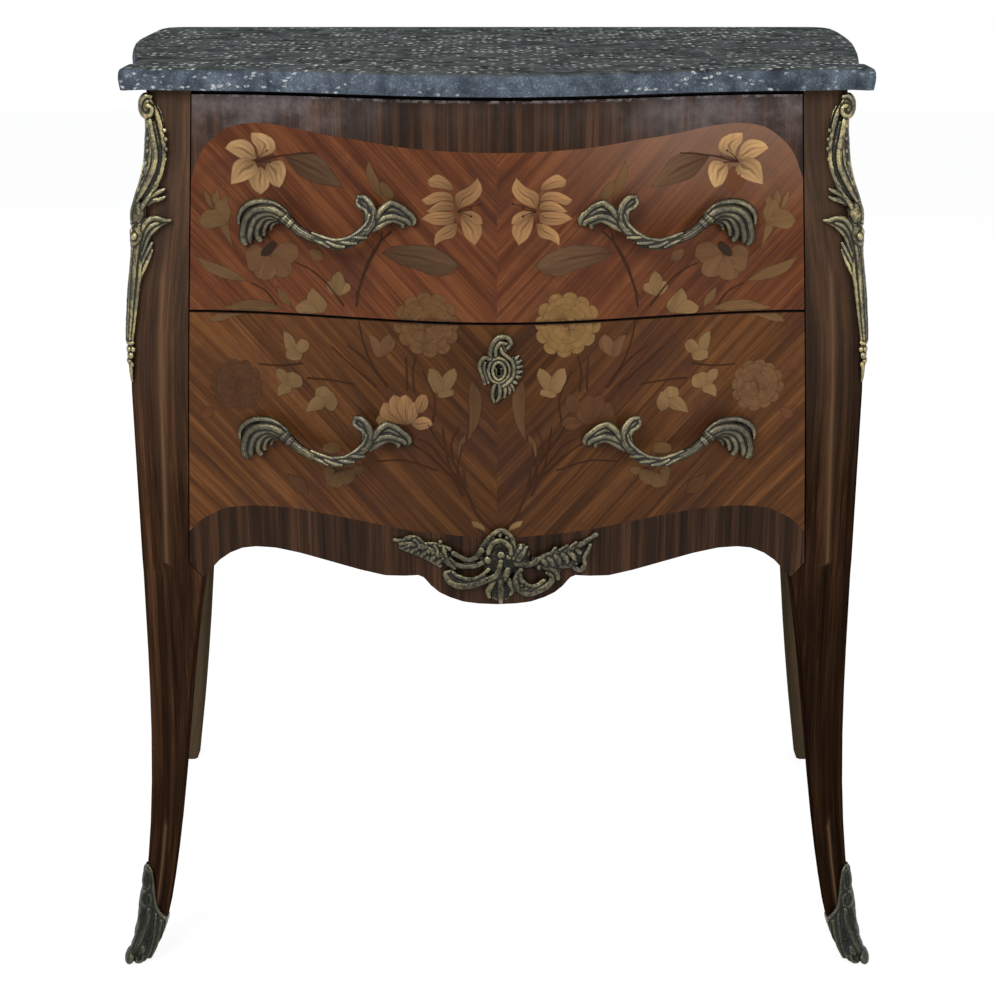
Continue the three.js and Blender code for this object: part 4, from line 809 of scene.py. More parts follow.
LOWER_PIECES = (
    # leaves on the upper half
    ("olive", ((200, 603.5), (218.5, 604.5), (232.5, 600.5), (236.5, 595)), ((215.5, 600), (226, 596))),
    ("ghost", ((93, 573), (83.5, 580.5), (82, 587.5), (86.5, 593)), ((95, 583), (91.5, 589.5))),
    ("ghost", ((93, 573), (93.5, 584), (99, 590.5), (104.5, 591)), ((98.5, 574.5), (102, 583.5))),
    ("leaf", ((42.5, 543.5), (35.5, 552.5), (32, 561), (34, 567.5)), ((45.5, 555.5), (40.5, 564))),
    ("leaf", ((42.5, 543.5), (43.5, 557.5), (49, 565.5), (55, 566.5)), ((52.5, 547.5), (56, 556.5))),
    ("leaf", ((47, 547), (36.5, 549.5), (35, 545), (41.5, 542.5)), ((48, 543.5), (45, 542))),
    ("leaf", ((163.5, 569.5), (165, 582), (169, 587.5), (174.5, 590)), ((172, 573.5), (174.5, 581.5))),
    ("leaf", ((165, 569), (155.5, 574), (153, 580), (155.5, 583.5)), ((165, 577.5), (160.5, 583.5))),
    ("leaf", ((159, 571.5), (166, 575.5), (173, 573), (173, 567.5)), ((161, 566.5), (168, 565.5))),
    ("leaf", ((173, 541.5), (161.5, 543.5), (160.5, 552), (168, 556)), ((178.5, 546.5), (176.5, 553.5))),
    ("leaf", ((168.5, 543.5), (178, 545), (181.5, 539.5), (181, 533.5)), ((170, 538.5), (175, 536.5))),
    ("leaf", ((171, 547), (173.5, 555.5), (178.5, 558), (182, 557)), ((179.5, 548), (182, 552.5))),
    ("leaf", ((145.5, 530.5), (135.5, 524.5), (130.5, 532.5), (134, 541)), ((147, 538.5),
     (140.5, 542.5))),
    ("leaf", ((145.5, 530.5), (136.5, 539), (139, 545), (144, 545.5)), ((149.5, 536.5), (148.5, 543))),
    ("leaf", ((140.5, 535.5), (149, 536.5), (155, 530.5), (158.5, 521.5)), ((143, 526.5), (151, 523.5))),
    # a bud, a slender leaf, and the flower under the handle
    ("rust", ((235, 520.5), (239.5, 523), (245.5, 520), (247.5, 515.5)), ((238, 515), (243.5, 512))),
    ("moss", ((21, 558.5), (12.5, 544.5), (14.5, 523.5), (24, 505)), ((23, 544.5), (22.5, 522))),
    ("moss", ((24.5, 513), (26, 505), (29.5, 496), (31, 487.5)), ((30.5, 506), (32.5, 497))),
    ("olive", ((128.5, 490), (129.5, 497), (136.5, 498), (144, 495)), ((136.5, 487.5), (144.5, 489.5))),
    ("olive", ((120, 471), (113.5, 471.5), (110, 475.5), (111, 479)), ((120, 476), (116, 478.5))),
    ("olive", ((131, 472.5), (119.5, 475.5), (118, 468), (122.5, 462.5)), ((133, 465), (128.5, 461))),
    ("olive", ((132.5, 472), (127, 463.5), (131.5, 458), (137.5, 458)), ((141, 466), (142, 460.5))),
    ("olive", ((134.5, 473.5), (139, 463.5), (143, 464), (144, 469)), ((140, 476.5), (144.5, 473))),
    ("faint", ((158, 450.5), (161, 462), (169.5, 465), (175.5, 466.5)), ((167.5, 450.5), (173, 457.5))),
    ("leaf", ((9, 426.5), (11, 432), (16, 435.5), (21.5, 436.5)), ((15, 429.5), (19.5, 431.5))),
    # the carnation
    ("faint", "peach", ((73.5, 517), (88.5, 518.5), (95.5, 516), (99.5, 519.5)), ((86.5, 525.5),
     (96, 524.5))),
    ("faint", "peach", ((73.5, 517), (92, 521), (96, 526.5), (92.5, 535.5)), ((81.5, 529.5),
     (86.5, 535))),
    ("faint", "peach", ((73.5, 517), (85, 525.5), (88, 536), (84, 543)), ((75.5, 530), (78, 540))),
    ("faint", "peach", ((73.5, 517), (80.5, 529.5), (79, 540), (74, 543.5)), ((68, 530.5), (69, 539))),
    ("faint", "peach", ((73.5, 517), (72.5, 530), (69, 536.5), (65, 537.5)), ((65.5, 523.5),
     (64, 530.5))),
    ("faint", "peach", ((65, 527), (66.5, 537.5), (62, 544), (57, 544)), ((58, 531), (55.5, 538))),
    ("faint", "peach", ((71, 519), (61.5, 525.5), (55, 524), (52, 519.5)), ((64, 514), (56.5, 515.5))),
)
# Stems: the width in millimetres, and a line along the middle
UPPER_STEMS = (
    (1, ((83.5, 676), (94, 665.5), (104, 649), (110, 632), (114, 621.5))),
    (1, ((193.5, 726.5), (184, 728.5), (174, 731.5), (159, 733.5), (145.5, 735))),
    (0.5, ((193.5, 726.5), (189, 731.5), (184, 735.5))), (0.5, ((193.5, 726), (186, 726.5), (182, 726))),
    (0.5, ((193.5, 726.5), (185.5, 730), (178.5, 731))), (0.5, ((31, 693.5), (22, 697), (12.5, 699.5))),
    (0.5, ((31, 693), (25, 694), (20.5, 696))), (0.5, ((30.5, 692.5), (25, 691.5), (20.5, 689.5))),
    (1, ((113.5, 613.5), (110, 630.5), (101.5, 650.5), (93.5, 665.5), (91, 675.5))),
    (1, ((123.5, 613.5), (137, 630.5), (150, 641), (163.5, 647))),
    (1, ((179.5, 611), (189, 622.5), (201, 628.5))),
)
LOWER_STEMS = (
    (1.5, ((3.5, 427.5), (15.5, 440), (23.5, 458), (33.5, 474), (43.5, 487.5), (55, 501.5), (63.5, 506))),
    (1, ((25.5, 464.5), (36, 488), (47.5, 503.5), (56, 519))), (1, ((36, 488), (37, 504), (31, 518))),
    (1.5, ((25.5, 464.5), (27.5, 481))), (1, ((48.5, 479.5), (75.5, 486.5), (99.5, 484))),
    (1, ((67, 546), (68, 563), (65, 576.5))),
    (1, ((89.5, 549.5), (102.5, 569), (109, 587.5), (112, 604))),
    (1, ((98, 548), (116.5, 563), (134.5, 579))), (1, ((52.5, 520.5), (50.5, 541.5), (60, 563.5))),
    (1, ((156, 551.5), (135.5, 551), (116.5, 549))),
    (1.5, ((28, 458), (35.5, 472), (47, 484), (59, 495), (70.5, 502))),
    (1, ((30.5, 463.5), (32.5, 477.5), (31, 490), (28, 504))),
    (1, ((34.5, 472), (39.5, 486), (42.5, 503.5), (44.5, 517.5))),
    (1, ((73, 547), (73, 562.5), (73.5, 574.5))), (1, ((160, 563.5), (179, 560.5), (196.5, 561))),
    (1, ((89, 548), (105.5, 569), (122, 581.5))),
)
# Roses: the middle, the half width, the wood on the right and on the left
ROSES = ((56, 602, 27, "gold", "husk"), (215.5, 542, 22.5, "ghost", "faint"))
# Their rings of petals: how many, how far out, and half a petal's breadth and depth, in shares of the width
RINGS = (
    (12, 0.82, 0.22, 0.17), (5, 0.52, 0.46, 0.3), (4, 0.36, 0.4, 0.26), (2, 0.22, 0.36, 0.22),
    (2, 0.1, 0.2, 0.14),
)
PETAL_STEPS = 16
ROSE_WAVE = 0.03              # how much the rings depart from round


def smooth_path(points, steps=6):
    """A smooth line through points, with any further numbers of theirs."""
    given = np.array(points, float)
    given = np.vstack([2 * given[0] - given[1], given, 2 * given[-1] - given[-2]])
    made = []
    for i in range(1, len(given) - 2):
        before, start, then, after = given[i - 1:i + 3]
        for t in np.arange(steps) / steps:
            made.append(0.5 * (2 * start + (then - before) * t
                               + (2 * before - 5 * start + 4 * then - after) * t * t
                               + (3 * start - before - 3 * then + after) * t ** 3))
    made.append(given[-2])
    return np.array(made)


class Inlay:
    """Gathers the pieces of one drawer into one mesh, with their woods, shading and grain."""
    def __init__(self, low, high):
        self.low, self.high = low, high
        self.places, self.faces, self.woods, self.shades, self.grains = [], [], [], [], []
        self.count = 0

    def lay(self, outline, wood, base, tip, scorch, halves=None):
        outline = clip_level(clip_level(outline, self.low, 1), self.high, -1)
        if len(outline) < 3:
            return
        self.count += 1
        inside = inner_points(outline)
        if halves is not None:
            # the middle line of a veined piece gets points of its own, so that the vein is drawn sharply
            spine = (halves[0] + halves[1])[1:-1] / 2
            inside += [tuple(p) for p in spine if self.low < p[1] < self.high]
        points = [Vector(p) for p in outline + inside]
        edges = [(i, (i + 1) % len(outline)) for i in range(len(outline))]
        found = geometry.delaunay_2d_cdt(points, edges, [], 1, 1e-7)
        flat, faces = np.array([v[:] for v in found[0]]), found[2]
        way = np.array(tip) - np.array(base)
        length = max(np.linalg.norm(way), 0.001)
        way = way / length
        away = flat - np.array(base)
        along, across = away @ way, away @ np.array((-way[1], way[0]))
        # 0 on the outline and 1 inside it
        rim = np.array([0 if len(source) and min(source) < len(outline) else 1 for source in found[3]], float)
        burnt = np.clip(1 - along / (length * SCORCHED_PART), 0, 1) ** 1.5 * scorch
        lift = VENEER_LIFT + INLAY_LIFT + LAYER_STEP * self.count
        start = sum(len(part) for part in self.places)
        on_face = [flat[:, 0], front_y(flat[:, 0], flat[:, 1]) - lift, flat[:, 1]]
        self.places.append(np.stack(on_face, axis=1))
        self.faces += [tuple(start + i for i in face[::-1]) for face in faces]
        share = np.ones(len(flat))
        if halves is not None:
            near, far = (line_gap(flat, half) for half in halves)
            share = near / np.maximum(near + far, 1e-9)
        tone = TONE_LOW + TONE_SPREAD * ((self.count * TONE_STEP) % 1)
        woods = np.tile(np.array(paint(*(c * tone for c in wood))), (len(flat), 1))
        woods[:, :3] *= (1 + HALF_TONE * np.clip((0.5 - share) * 6, -1, 1) * (share < 1))[:, None]
        woods[:, 3] = 1 - along / length
        self.woods.append(woods)
        self.shades.append(np.stack([rim, burnt, share], axis=1))
        self.grains.append(np.stack([across, np.full(len(flat), GRAIN_STEP * self.count), along], axis=1))

    def build(self, name):
        mesh = bpy.data.meshes.new(name)
        mesh.from_pydata(np.concatenate(self.places).tolist(), [], self.faces)
        made = new_object(name, mesh)
        write_attribute(made, "wood", np.concatenate(self.woods), "FLOAT_COLOR")
        write_attribute(made, "shading", np.concatenate(self.shades), "FLOAT_VECTOR")
        write_attribute(made, "grain", np.concatenate(self.grains), "FLOAT_VECTOR")
        work = bmesh.new()
        work.from_mesh(mesh)
        work.normal_update()
        for face in work.faces:
            if face.normal.y > 0:
                face.normal_flip()
        work.to_mesh(mesh)
        work.free()
        apply_modifier(made, "SOLIDIFY", thickness=INLAY_THICKNESS, offset=-1)
        shade(made)
        return made


def line_gap(points, line):
    """How far each point is from an open line."""
    a, b = np.array(line[:-1]), np.array(line[1:])
    side = b - a
    off = points[:, None, :] - a
    t = np.clip((off * side).sum(axis=2) / np.maximum((side ** 2).sum(axis=1), 1e-14), 0, 1)
    return np.linalg.norm(off - t[..., None] * side, axis=2).min(axis=1)


def clip_level(outline, level_z, keep):
    """The part of an outline above (keep 1) or below (keep -1) a level."""
    kept = []
    for (x0, z0), (x1, z1) in zip(outline, outline[1:] + outline[:1]):
        in0, in1 = keep * (z0 - level_z) >= 0, keep * (z1 - level_z) >= 0
        if in0:
            kept.append((x0, z0))
        if in0 != in1:
            t = (level_z - z0) / (z1 - z0)
            kept.append((x0 + t * (x1 - x0), level_z))
    return kept


def inside_of(points, outline):
    """Which points lie inside an outline, and how far each is from it."""
    points, a = np.array(points), np.array(outline)
    b = np.roll(a, -1, axis=0)
    px, pz = points[:, 0, None], points[:, 1, None]
    crosses = (a[:, 1] > pz) != (b[:, 1] > pz)
    rise = np.where(b[:, 1] == a[:, 1], 1e-12, b[:, 1] - a[:, 1])
    left = px < a[:, 0] + (pz - a[:, 1]) * (b[:, 0] - a[:, 0]) / rise
    return (crosses & left).sum(axis=1) % 2 == 1, line_gap(points, outline + outline[:1])


def inner_points(outline):
    """Points inside an outline: a ring just inside its edge, and a grid that follows the drawer's curve."""
    ring = np.array(outline)
    before, after = np.roll(ring, 1, axis=0), np.roll(ring, -1, axis=0)
    way = after - before
    length = np.maximum(np.linalg.norm(way, axis=1), 1e-9)[:, None]
    normal = np.stack([-way[:, 1], way[:, 0]], axis=1) / length
    winding = ((ring[:, 0] * after[:, 1] - after[:, 0] * ring[:, 1]).sum() > 0) * 2 - 1
    inset = ring + normal * winding * SAW_LINE
    low, high = ring.min(axis=0), ring.max(axis=0)
    columns, rows = (np.arange(low[axis], high[axis], INLAY_GRID) for axis in (0, 1))
    kept = []
    for spots, margin in ((inset, 0.8), ([(x, z) for x in columns for z in rows], 2.2)):
        if len(spots):
            within, gap = inside_of(spots, outline)
            kept += [tuple(p) for p, ok, d in zip(spots, within, gap) if ok and d > SAW_LINE * margin]
    return kept


def blade(side, other):
    """The two sides of a piece, each drawn smoothly from its base to its tip, with as many points."""
    drawn = []
    for points in (side, (side[0],) + other + (side[-1],)):
        path = smooth_path(points, 8) if len(points) > 2 else np.array(points, float)
        run = np.append(0, np.cumsum(np.linalg.norm(np.diff(path, axis=0), axis=1)))
        at = np.linspace(0, run[-1], BLADE_STEPS)
        drawn.append(np.stack([np.interp(at, run, path[:, k]) for k in (0, 1)], axis=1) * MILLIMETRE)
    return drawn


def stem_outline(points, width):
    path = smooth_path(points, 5)
    way = np.gradient(path, axis=0)
    normal = np.stack([-way[:, 1], way[:, 0]], axis=1) / np.linalg.norm(way, axis=1)[:, None]
    half = width / 2 * np.linspace(1, STEM_TIP, len(path))[:, None]
    around = np.concatenate([path + normal * half, (path - normal * half)[::-1]])
    return [tuple(p) for p in around * MILLIMETRE]


def anther_outline(x, z):
    return [((x + ANTHER * math.cos(a)) * MILLIMETRE, (z + ANTHER * math.sin(a)) * MILLIMETRE)
            for a in np.linspace(0, 2 * math.pi, 10)[:-1]]


def rose_petals(x, z, radius):
    """The outlines of a rose's petals, from the outer ring to the heart, each with its base and tip."""
    for n, out, wide, deep in RINGS:
        for i in range(n):
            turn = 2 * math.pi * (i + out) / n
            way, side = (math.cos(turn), math.sin(turn)), (-math.sin(turn), math.cos(turn))
            reach = radius * (out + ROSE_WAVE * math.cos(3 * turn))
            ring = []
            for k in range(PETAL_STEPS):
                a = 2 * math.pi * k / PETAL_STEPS
                forth, sideways = reach + radius * deep * math.cos(a), radius * wide * math.sin(a)
                ring.append(((x + way[0] * forth + side[0] * sideways) * MILLIMETRE,
                             (z + way[1] * forth + side[1] * sideways) * MILLIMETRE))
            yield ring, ring[PETAL_STEPS // 2], ring[0]


def inlay_wood(name):
    made, tree = new_material(name)
    rim, burnt, across = parts(tree, attribute(tree, "shading", "Vector"))
    height = wood_nodes(tree, attribute(tree, "grain", "Vector"), INLAY_GRAIN, TULIPWOOD_BROWN)[1]
    wood = attribute(tree, "wood", "Color")
    grained = multiplied(tree, wood, between(tree, height, 0.3, 0.7, 0.72, 1.14))
    shaded = blend(tree, burnt, grained, paint(58, 34, 20))
    glue = between(tree, rim, 0, 0.9, 0.6, 0)
    # veins cut with a saw along the middle and beside it, from the base towards the tip
    off = reckon(tree, "ABSOLUTE", reckon(tree, "SUBTRACT", across, 0.5))
    beside = reckon(tree, "ABSOLUTE", reckon(tree, "SUBTRACT", off, 0.25))
    middle_vein = between(tree, off, 0.02, 0.08, 0.55, 0)
    side_vein = between(tree, beside, 0.01, 0.05, 0.28, 0)
    to_tip = between(tree, attribute(tree, "wood", "Alpha"), 0.12, 0.5)
    veins = reckon(tree, "MULTIPLY", reckon(tree, "MAXIMUM", middle_vein, side_vein), to_tip)
    lined = blend(tree, reckon(tree, "MAXIMUM", glue, veins), shaded, paint(50, 31, 19))
    polish(tree, lined, height, roughness=0.38)
    return made


def turned(outline, sign):
    """An outline drawn for the right half, or its mirror image on the left."""
    return [(sign * x, z) for x, z in outline]


marquetry_wood = inlay_wood("marquetry_woods")
for drawer, low, high, pieces, stems in (
    ("upper_drawer", SPLIT_TOP + SEAM_SHADOW_MARGIN, DRAWERS_TOP, UPPER_PIECES, UPPER_STEMS),
    ("lower_drawer", APRON_TIP, SPLIT_BASE - SEAM_SHADOW_MARGIN, LOWER_PIECES, LOWER_STEMS),
):
    inlay = Inlay(low, high)
    for sign, fade in ((1, 1.0), (-1, LEFT_FADE)):
        for x, z, radius, *kinds in ROSES:
            wood = [c * fade for c in WOODS[kinds[sign < 0]]]
            for ring, *ends in rose_petals(x, z, radius):
                inlay.lay(turned(ring, sign), wood, *turned(ends, sign), ROSE_SCORCH)
        for kind, *rest in pieces:
            kind = rest[0] if sign < 0 and isinstance(rest[0], str) else kind
            wood = [c * fade for c in WOODS[kind]]
            halves = [half * (sign, 1) for half in blade(*rest[-2:])]
            outline = [tuple(p) for p in np.concatenate([halves[0][:-1], halves[1][:0:-1]])]
            base, tip = halves[0][0], halves[0][-1]
            if kind in VEINED:
                inlay.lay(outline, wood, base, tip, VEINED_SCORCH, halves)
            else:
                inlay.lay(outline, wood, base, tip, PLAIN_SCORCH)
        for width, points in stems:
            outline = turned(stem_outline(points, width * STEM_WIDENING), sign)
            inlay.lay(outline, STEM_COLOUR, outline[0], outline[len(outline) // 2], 0)
            if width < 1:
                dot = turned(anther_outline(*points[-1]), sign)
                inlay.lay(dot, STEM_COLOUR, dot[0], dot[5], 0)
    settle(inlay.build(f"{drawer}_marquetry"), drawer, "veneer", marquetry_wood)


# Marble: a slab of dark grey limestone full of small white shell flecks. It is sawn, its edge is moulded by
# hand, and it lies loose on the body. Its edge is painted lighter and bluer than its face, as painted light
# falling on the front.
FACE_START = (0.0152, 0.0165)    # above the slab's underside, where the edge's painted lighter, bluer colour gives way to the face's
EDGE_FLECKS = 0.55               # how white the edge's flecks are, as a share of the face's
WARP = 0.006                     # how far the shells' outlines wander
# How far out the sides stand beyond the frame's slab: a place from front to back, and the distance
SIDE_SPREAD = ((-0.115, 0), (-0.02, 0.0044), (0.075, 0.0073), (0.13, 0.0036), (0.17, 0.002))
RIGHT_SHARE = 0.15               # of that distance on the right, because the slab is cut a little askew
REAR_ROUNDING = (0.026, 0.060)   # the frame's rear corner, across and from front to back
SQUARENESS = 4
# How far the hollow under the moulding is filled: a share of the slab's thickness, and the distance
FILLED_UNDER = ((0, 0.0023), (0.2, 0.0026), (0.42, 0.001), (0.58, 0))


def marble(name):
    made, tree = new_material(name)
    start = here(tree)
    warp = node(tree, "TexNoise", {"Vector": start, "Scale": 70, "Detail": 3, "Roughness": 0.6})
    bent = node(tree, "VectorMath", {0: warp.outputs["Color"], "Scale": WARP}, operation="SCALE")
    bent = node(tree, "VectorMath", {0: start, 1: bent.outputs[0]}, operation="ADD")
    grit = node(tree, "Mapping", {"Vector": bent.outputs[0], "Scale": (150, 190, 300)})
    crumbs = node(tree, "TexVoronoi", {"Vector": grit.outputs[0], "Scale": 1, "Randomness": 1})
    on_top = between(tree, parts(tree, start)[2], *(BODY_TOP + height for height in FACE_START))
    patch = between(tree, noise(tree, start, 46, 5, 0.7, 0.5), 0.35, 0.7)
    misty = between(tree, noise(tree, start, 620, 2), 0.52, 0.66, 0, 0.5)
    # painted light: the edge lighter and bluer than the face
    edge = blend(tree, patch, paint(54, 60, 68), paint(98, 107, 118))
    edge = blend(tree, reckon(tree, "MULTIPLY", misty, patch), edge, paint(158, 172, 184))
    face = blend(tree, patch, paint(44, 46, 45), paint(98, 101, 100))
    # shells: some of the crumbs, in rows along the slab, with torn outlines
    rows = noise(tree, object_place(tree, scale=(8, 40, 40)), 1, 5, 0.7, 1.4)
    torn = noise(tree, start, 420, 3, 0.7, 0.8)
    white = between(tree, crumbs.outputs["Distance"], 0.22, 0.42, 1, 0)
    for share in (
        between(tree, parts(tree, crumbs.outputs["Color"])[0], 0.36, 0.5), between(tree, rows, 0.47, 0.53),
        between(tree, torn, 0.4, 0.52), between(tree, on_top, 0, 1, EDGE_FLECKS, 1),
    ):
        white = reckon(tree, "MULTIPLY", white, share)
    finish_surface(tree, {
        "Base Color": blend(tree, white, blend(tree, on_top, edge, face), paint(236, 238, 234)),
        "Roughness": 0.5, "Specular IOR Level": 0.0, "Normal": bump(tree, torn, 0.0003, 0.3),
    })
    return made


slab = merged_copy("marble_top", "marble_slab")
low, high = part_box("marble_top")
outwards = read_normals(slab)[:, :2]
outwards /= np.linalg.norm(outwards, axis=1)[:, None] + 1e-9
places = read_places(slab)
thickness_share = (places[:, 2] - low.z) / (high.z - low.z)
places[:, :2] += outwards * np.interp(thickness_share, *np.array(FILLED_UNDER).T)[:, None]
which = np.sign(places[:, 0])
# how far a place lies inside the rear corner's rounding, across and from front to back, as shares of it
beyond = [np.maximum(np.abs(places[:, 0]) - high.x + REAR_ROUNDING[0], 0) / REAR_ROUNDING[0],
          np.maximum(places[:, 1] - high.y + REAR_ROUNDING[1], 0) / REAR_ROUNDING[1]]
reach = np.hypot(*beyond) + 1e-9
squarer = (beyond[0] / reach) ** SQUARENESS + (beyond[1] / reach) ** SQUARENESS + 1e-9
squarer = np.where((beyond[0] > 0) & (beyond[1] > 0), squarer ** (-1 / SQUARENESS) - 1, 0)
spread = np.interp(places[:, 1], *np.array(SIDE_SPREAD).T) * np.where(which < 0, 1, RIGHT_SHARE)
places[:, 0] += which * (beyond[0] * squarer * REAR_ROUNDING[0] + spread)
places[:, 1] += beyond[1] * squarer * REAR_ROUNDING[1]
write_places(slab, places)
shade(slab, 50)
for face in slab.data.polygons:
    if abs(face.normal.z) > 0.999:
        face.use_smooth = False
settle(slab, "carcass", "marble", marble("shell_marble"), "marble_top")


# Handles: bronze, cast in sand and chased, once gilded and now worn and dark in the hollows. Each is a
# bar between two leaf clusters, held by two shanks with nuts inside the drawer.
VOXEL = 0.00045
LIMB_SIDES = 12
THINNEST = 0.05               # millimetres
# The rings of a limb's rounded end: how far out and how wide, in radii
ROUND_END = ((0.95, 0.3), (0.75, 0.66), (0.4, 0.92))
HOLLOW_ROUNDS = 10
HANDLES = (("upper", 0.135, 0.685), ("lower", 0.141, 0.5048))   # from the middle, and above the floor
# Millimetres from the handle's middle: outwards, upwards, in front of the veneer, and the limb's radius
HANDLE_BAR = (
    (31.5, -3.1, 12, 4.2), (22.7, -9.7, 14, 3.9), (13.4, -13.9, 16, 3.7), (3.1, -16.1, 17, 3.7),
    (-6.2, -17.9, 17, 3.8), (-17.9, -16, 16, 3.7), (-28.2, -10.2, 14, 3.4), (-35.4, -3, 12, 3.4),
    (-37.8, 5.2, 11, 3.1), (-36, 12.5, 10.5, 2.7), (-31, 18.2, 10, 2.1), (-26, 18.4, 9, 1.7),
)
HANDLE_LIMBS = (
    HANDLE_BAR,
    # the strands chased along the bar
    ((11.5, -10.5, 18, 0.9), (2.9, -13, 19.2, 1.4), (-6.2, -14.8, 19.4, 1.5), (-16.4, -13.2, 18.4, 1.5),
     (-25.4, -8, 16.2, 1.4), (-32, -1.6, 14, 1.4), (-34.6, 5, 12.6, 1.3)),
    ((17.5, -15.1, 15.6, 1), (8.5, -17.6, 17.4, 1.5), (-0.5, -20.2, 17.6, 1.6), (-10, -20.8, 17.2, 1.6),
     (-20.3, -18.4, 16, 1.5), (-30.5, -12, 14, 1.3), (-38, -3, 12, 1.4)),
    ((10.5, -15.2, 19.2, 0.9), (3.5, -17.6, 20.4, 1.2), (-1.9, -20, 20, 1.1)),
    ((-0.5, -16.2, 20.8, 0.8), (-7.1, -18.8, 20.9, 1.3), (-13.8, -19.6, 19.8, 1)),
    ((-11.1, -15.8, 20, 0.8), (-17.5, -16.4, 19.8, 1.3), (-23.6, -16.6, 17.8, 1)),
    ((-20.7, -12, 18.4, 0.8), (-26.3, -12, 17.6, 1.3), (-31.6, -12, 15.4, 1.1)),
    ((-28.4, -7, 16, 0.8), (-33, -6, 14.6, 1.5), (-38.4, -5.4, 12, 1.1)),
    # the beads of the collar
    ((34.1, -1.2, 11.4, 5.4), (33.2, -1.9, 11.6, 5.1)), ((30.7, -3.8, 12.4, 4.6), (30, -4.4, 12.6, 4.8)),
    # the curl and its inner scroll
    ((-25.6, 17.4, 9, 1.6), (-24.6, 13.4, 9.4, 1.7), (-27.3, 10.4, 10, 1.9), (-31, 8.6, 11, 2),
     (-32.9, 4, 11.6, 2.3), (-32, -1, 12.6, 2.2), (-28.6, -6, 14, 1.6)),
    ((-28.6, 15.2, 8.4, 2.2), (-31.6, 12.6, 9, 2.7), (-34, 9, 9.6, 2.5)),
    # the outer leaf: a crest, and ribs that end in finger tips
    ((27.9, -3.1, 12, 1.6), (33, 3.4, 11.4, 2), (42, 9.4, 10, 2.6), (52, 11, 8.6, 2.7), (62, 9.2, 7, 2.6),
     (69.3, 4.3, 5.4, 2.4), (72.7, -1.8, 3.8, 2.1), (73.3, -7.4, 2.6, 1.5)),
    ((33, -0.2, 13, 2.4), (40, 4.8, 14, 2.7), (48, 6.6, 14, 2.6), (56, 5.6, 13, 2.6),
     (62, 2.3, 11.4, 2.5), (65.9, -2.2, 9.6, 2.5), (68.5, -8.2, 8, 2.6), (70.1, -15.2, 6, 2.8),
     (69.9, -20.2, 4.2, 3.4), (68.9, -22.6, 3.4, 3.1)),
    ((38, 0.4, 13, 2.3), (45, 3, 13.4, 2.3), (52, 2.1, 12.6, 2.3), (57.5, -1.2, 11, 2.3),
     (61.3, -6.2, 9, 2.3), (63.5, -12.2, 7, 2.4), (64.7, -18.2, 5, 2.7), (64.7, -21.2, 3.4, 2.5)),
    ((41, -0.2, 12, 2.2), (47, 0.2, 12, 2.2), (52, -1.8, 11, 2.2), (55.5, -6.4, 9, 2.2),
     (57.9, -11.8, 6.8, 2.3), (58.1, -16.8, 4.8, 2.5), (56.4, -20, 3.4, 2.5)),
    ((40, -1.8, 11, 1.9), (45.5, -2.4, 10.6, 1.9), (49.5, -5.8, 8.8, 1.9), (52.1, -10.8, 6, 2.1),
     (52.9, -15.2, 3.8, 2.2)),
    ((37, -2.8, 10.4, 2.1), (42, -4, 9, 1.9), (45.4, -7.2, 6.4, 1.8), (47.1, -11, 3.4, 1.8)),
    ((34.5, 1.6, 8, 3), (44.5, 6.2, 7, 3.4), (55.5, 6.6, 5.4, 3.9), (64.5, 2.2, 3.8, 3.4),
     (68.5, -5.8, 2.4, 2.3)),
    ((38.5, -0.8, 7.6, 3), (48.5, 0.6, 6, 3.9), (56.5, -3.8, 4, 3.6), (60.5, -11.8, 2.6, 3),
     (62.5, -17.8, 2, 2.1)),
    # the inner leaf
    ((-36.4, -1, 11.4, 3), (-40.6, 4.6, 10.8, 2.7), (-44.5, 9.8, 10, 2.5), (-49.5, 13.9, 8.8, 2.5),
     (-53, 14.4, 7.6, 2.4), (-58.5, 12, 6, 2.3), (-63.5, 8.1, 4.8, 2.2), (-67.8, 4.3, 3.8, 2.3),
     (-69.3, 0.6, 3, 2.3), (-68.4, -1.6, 2.6, 2.1)),
    ((-38.4, -0.6, 11, 2.5), (-46.5, 3.3, 9.6, 2.4), (-53.5, 4.4, 8.2, 2.3), (-59, 2.6, 6.4, 2.2),
     (-63, 1, 4.6, 2.2), (-66, -1.4, 3.2, 2.2)),
    ((-36.5, -6.4, 12, 2.2), (-42, -3.8, 10.6, 2.3), (-47.5, -0.4, 9, 2.3), (-52.5, 1.4, 7.6, 2.3),
     (-56.8, 0.4, 6, 2.3), (-60, -1.8, 4.2, 2.3), (-60.4, -3.8, 3.2, 2.1)),
    ((-43, 6.4, 9, 1.8), (-50, 9.6, 7.8, 1.9), (-56, 8.2, 6.2, 1.9), (-61.6, 4.6, 4.6, 1.8),
     (-64.6, 1.4, 3.2, 1.6)),
    ((-42, 3, 6.6, 3), (-50, 7, 5, 3.6), (-58, 5, 3.4, 3.4), (-64, 1.4, 2.2, 2.3)),
    # the shanks' shoulders
    ((52.9, 7, -0.1, 3.6), (52.9, 7, 6, 3.4)), ((-52.9, 7, -0.1, 3.6), (-52.9, 7, 5, 3)),
)
cast_lumps = bpy.data.textures.new("cast_lumps", "CLOUDS")
cast_lumps.noise_scale = 0.0044
cast_lumps.noise_depth = 1


def end_rings(end, inner):
    """The rings that round off a limb, from its very end inwards."""
    way = (end - inner)[:3] / (np.linalg.norm((end - inner)[:3]) + 1e-9)
    return [np.append(end[:3] + way * end[3] * out, end[3] * wide) for out, wide in ROUND_END]


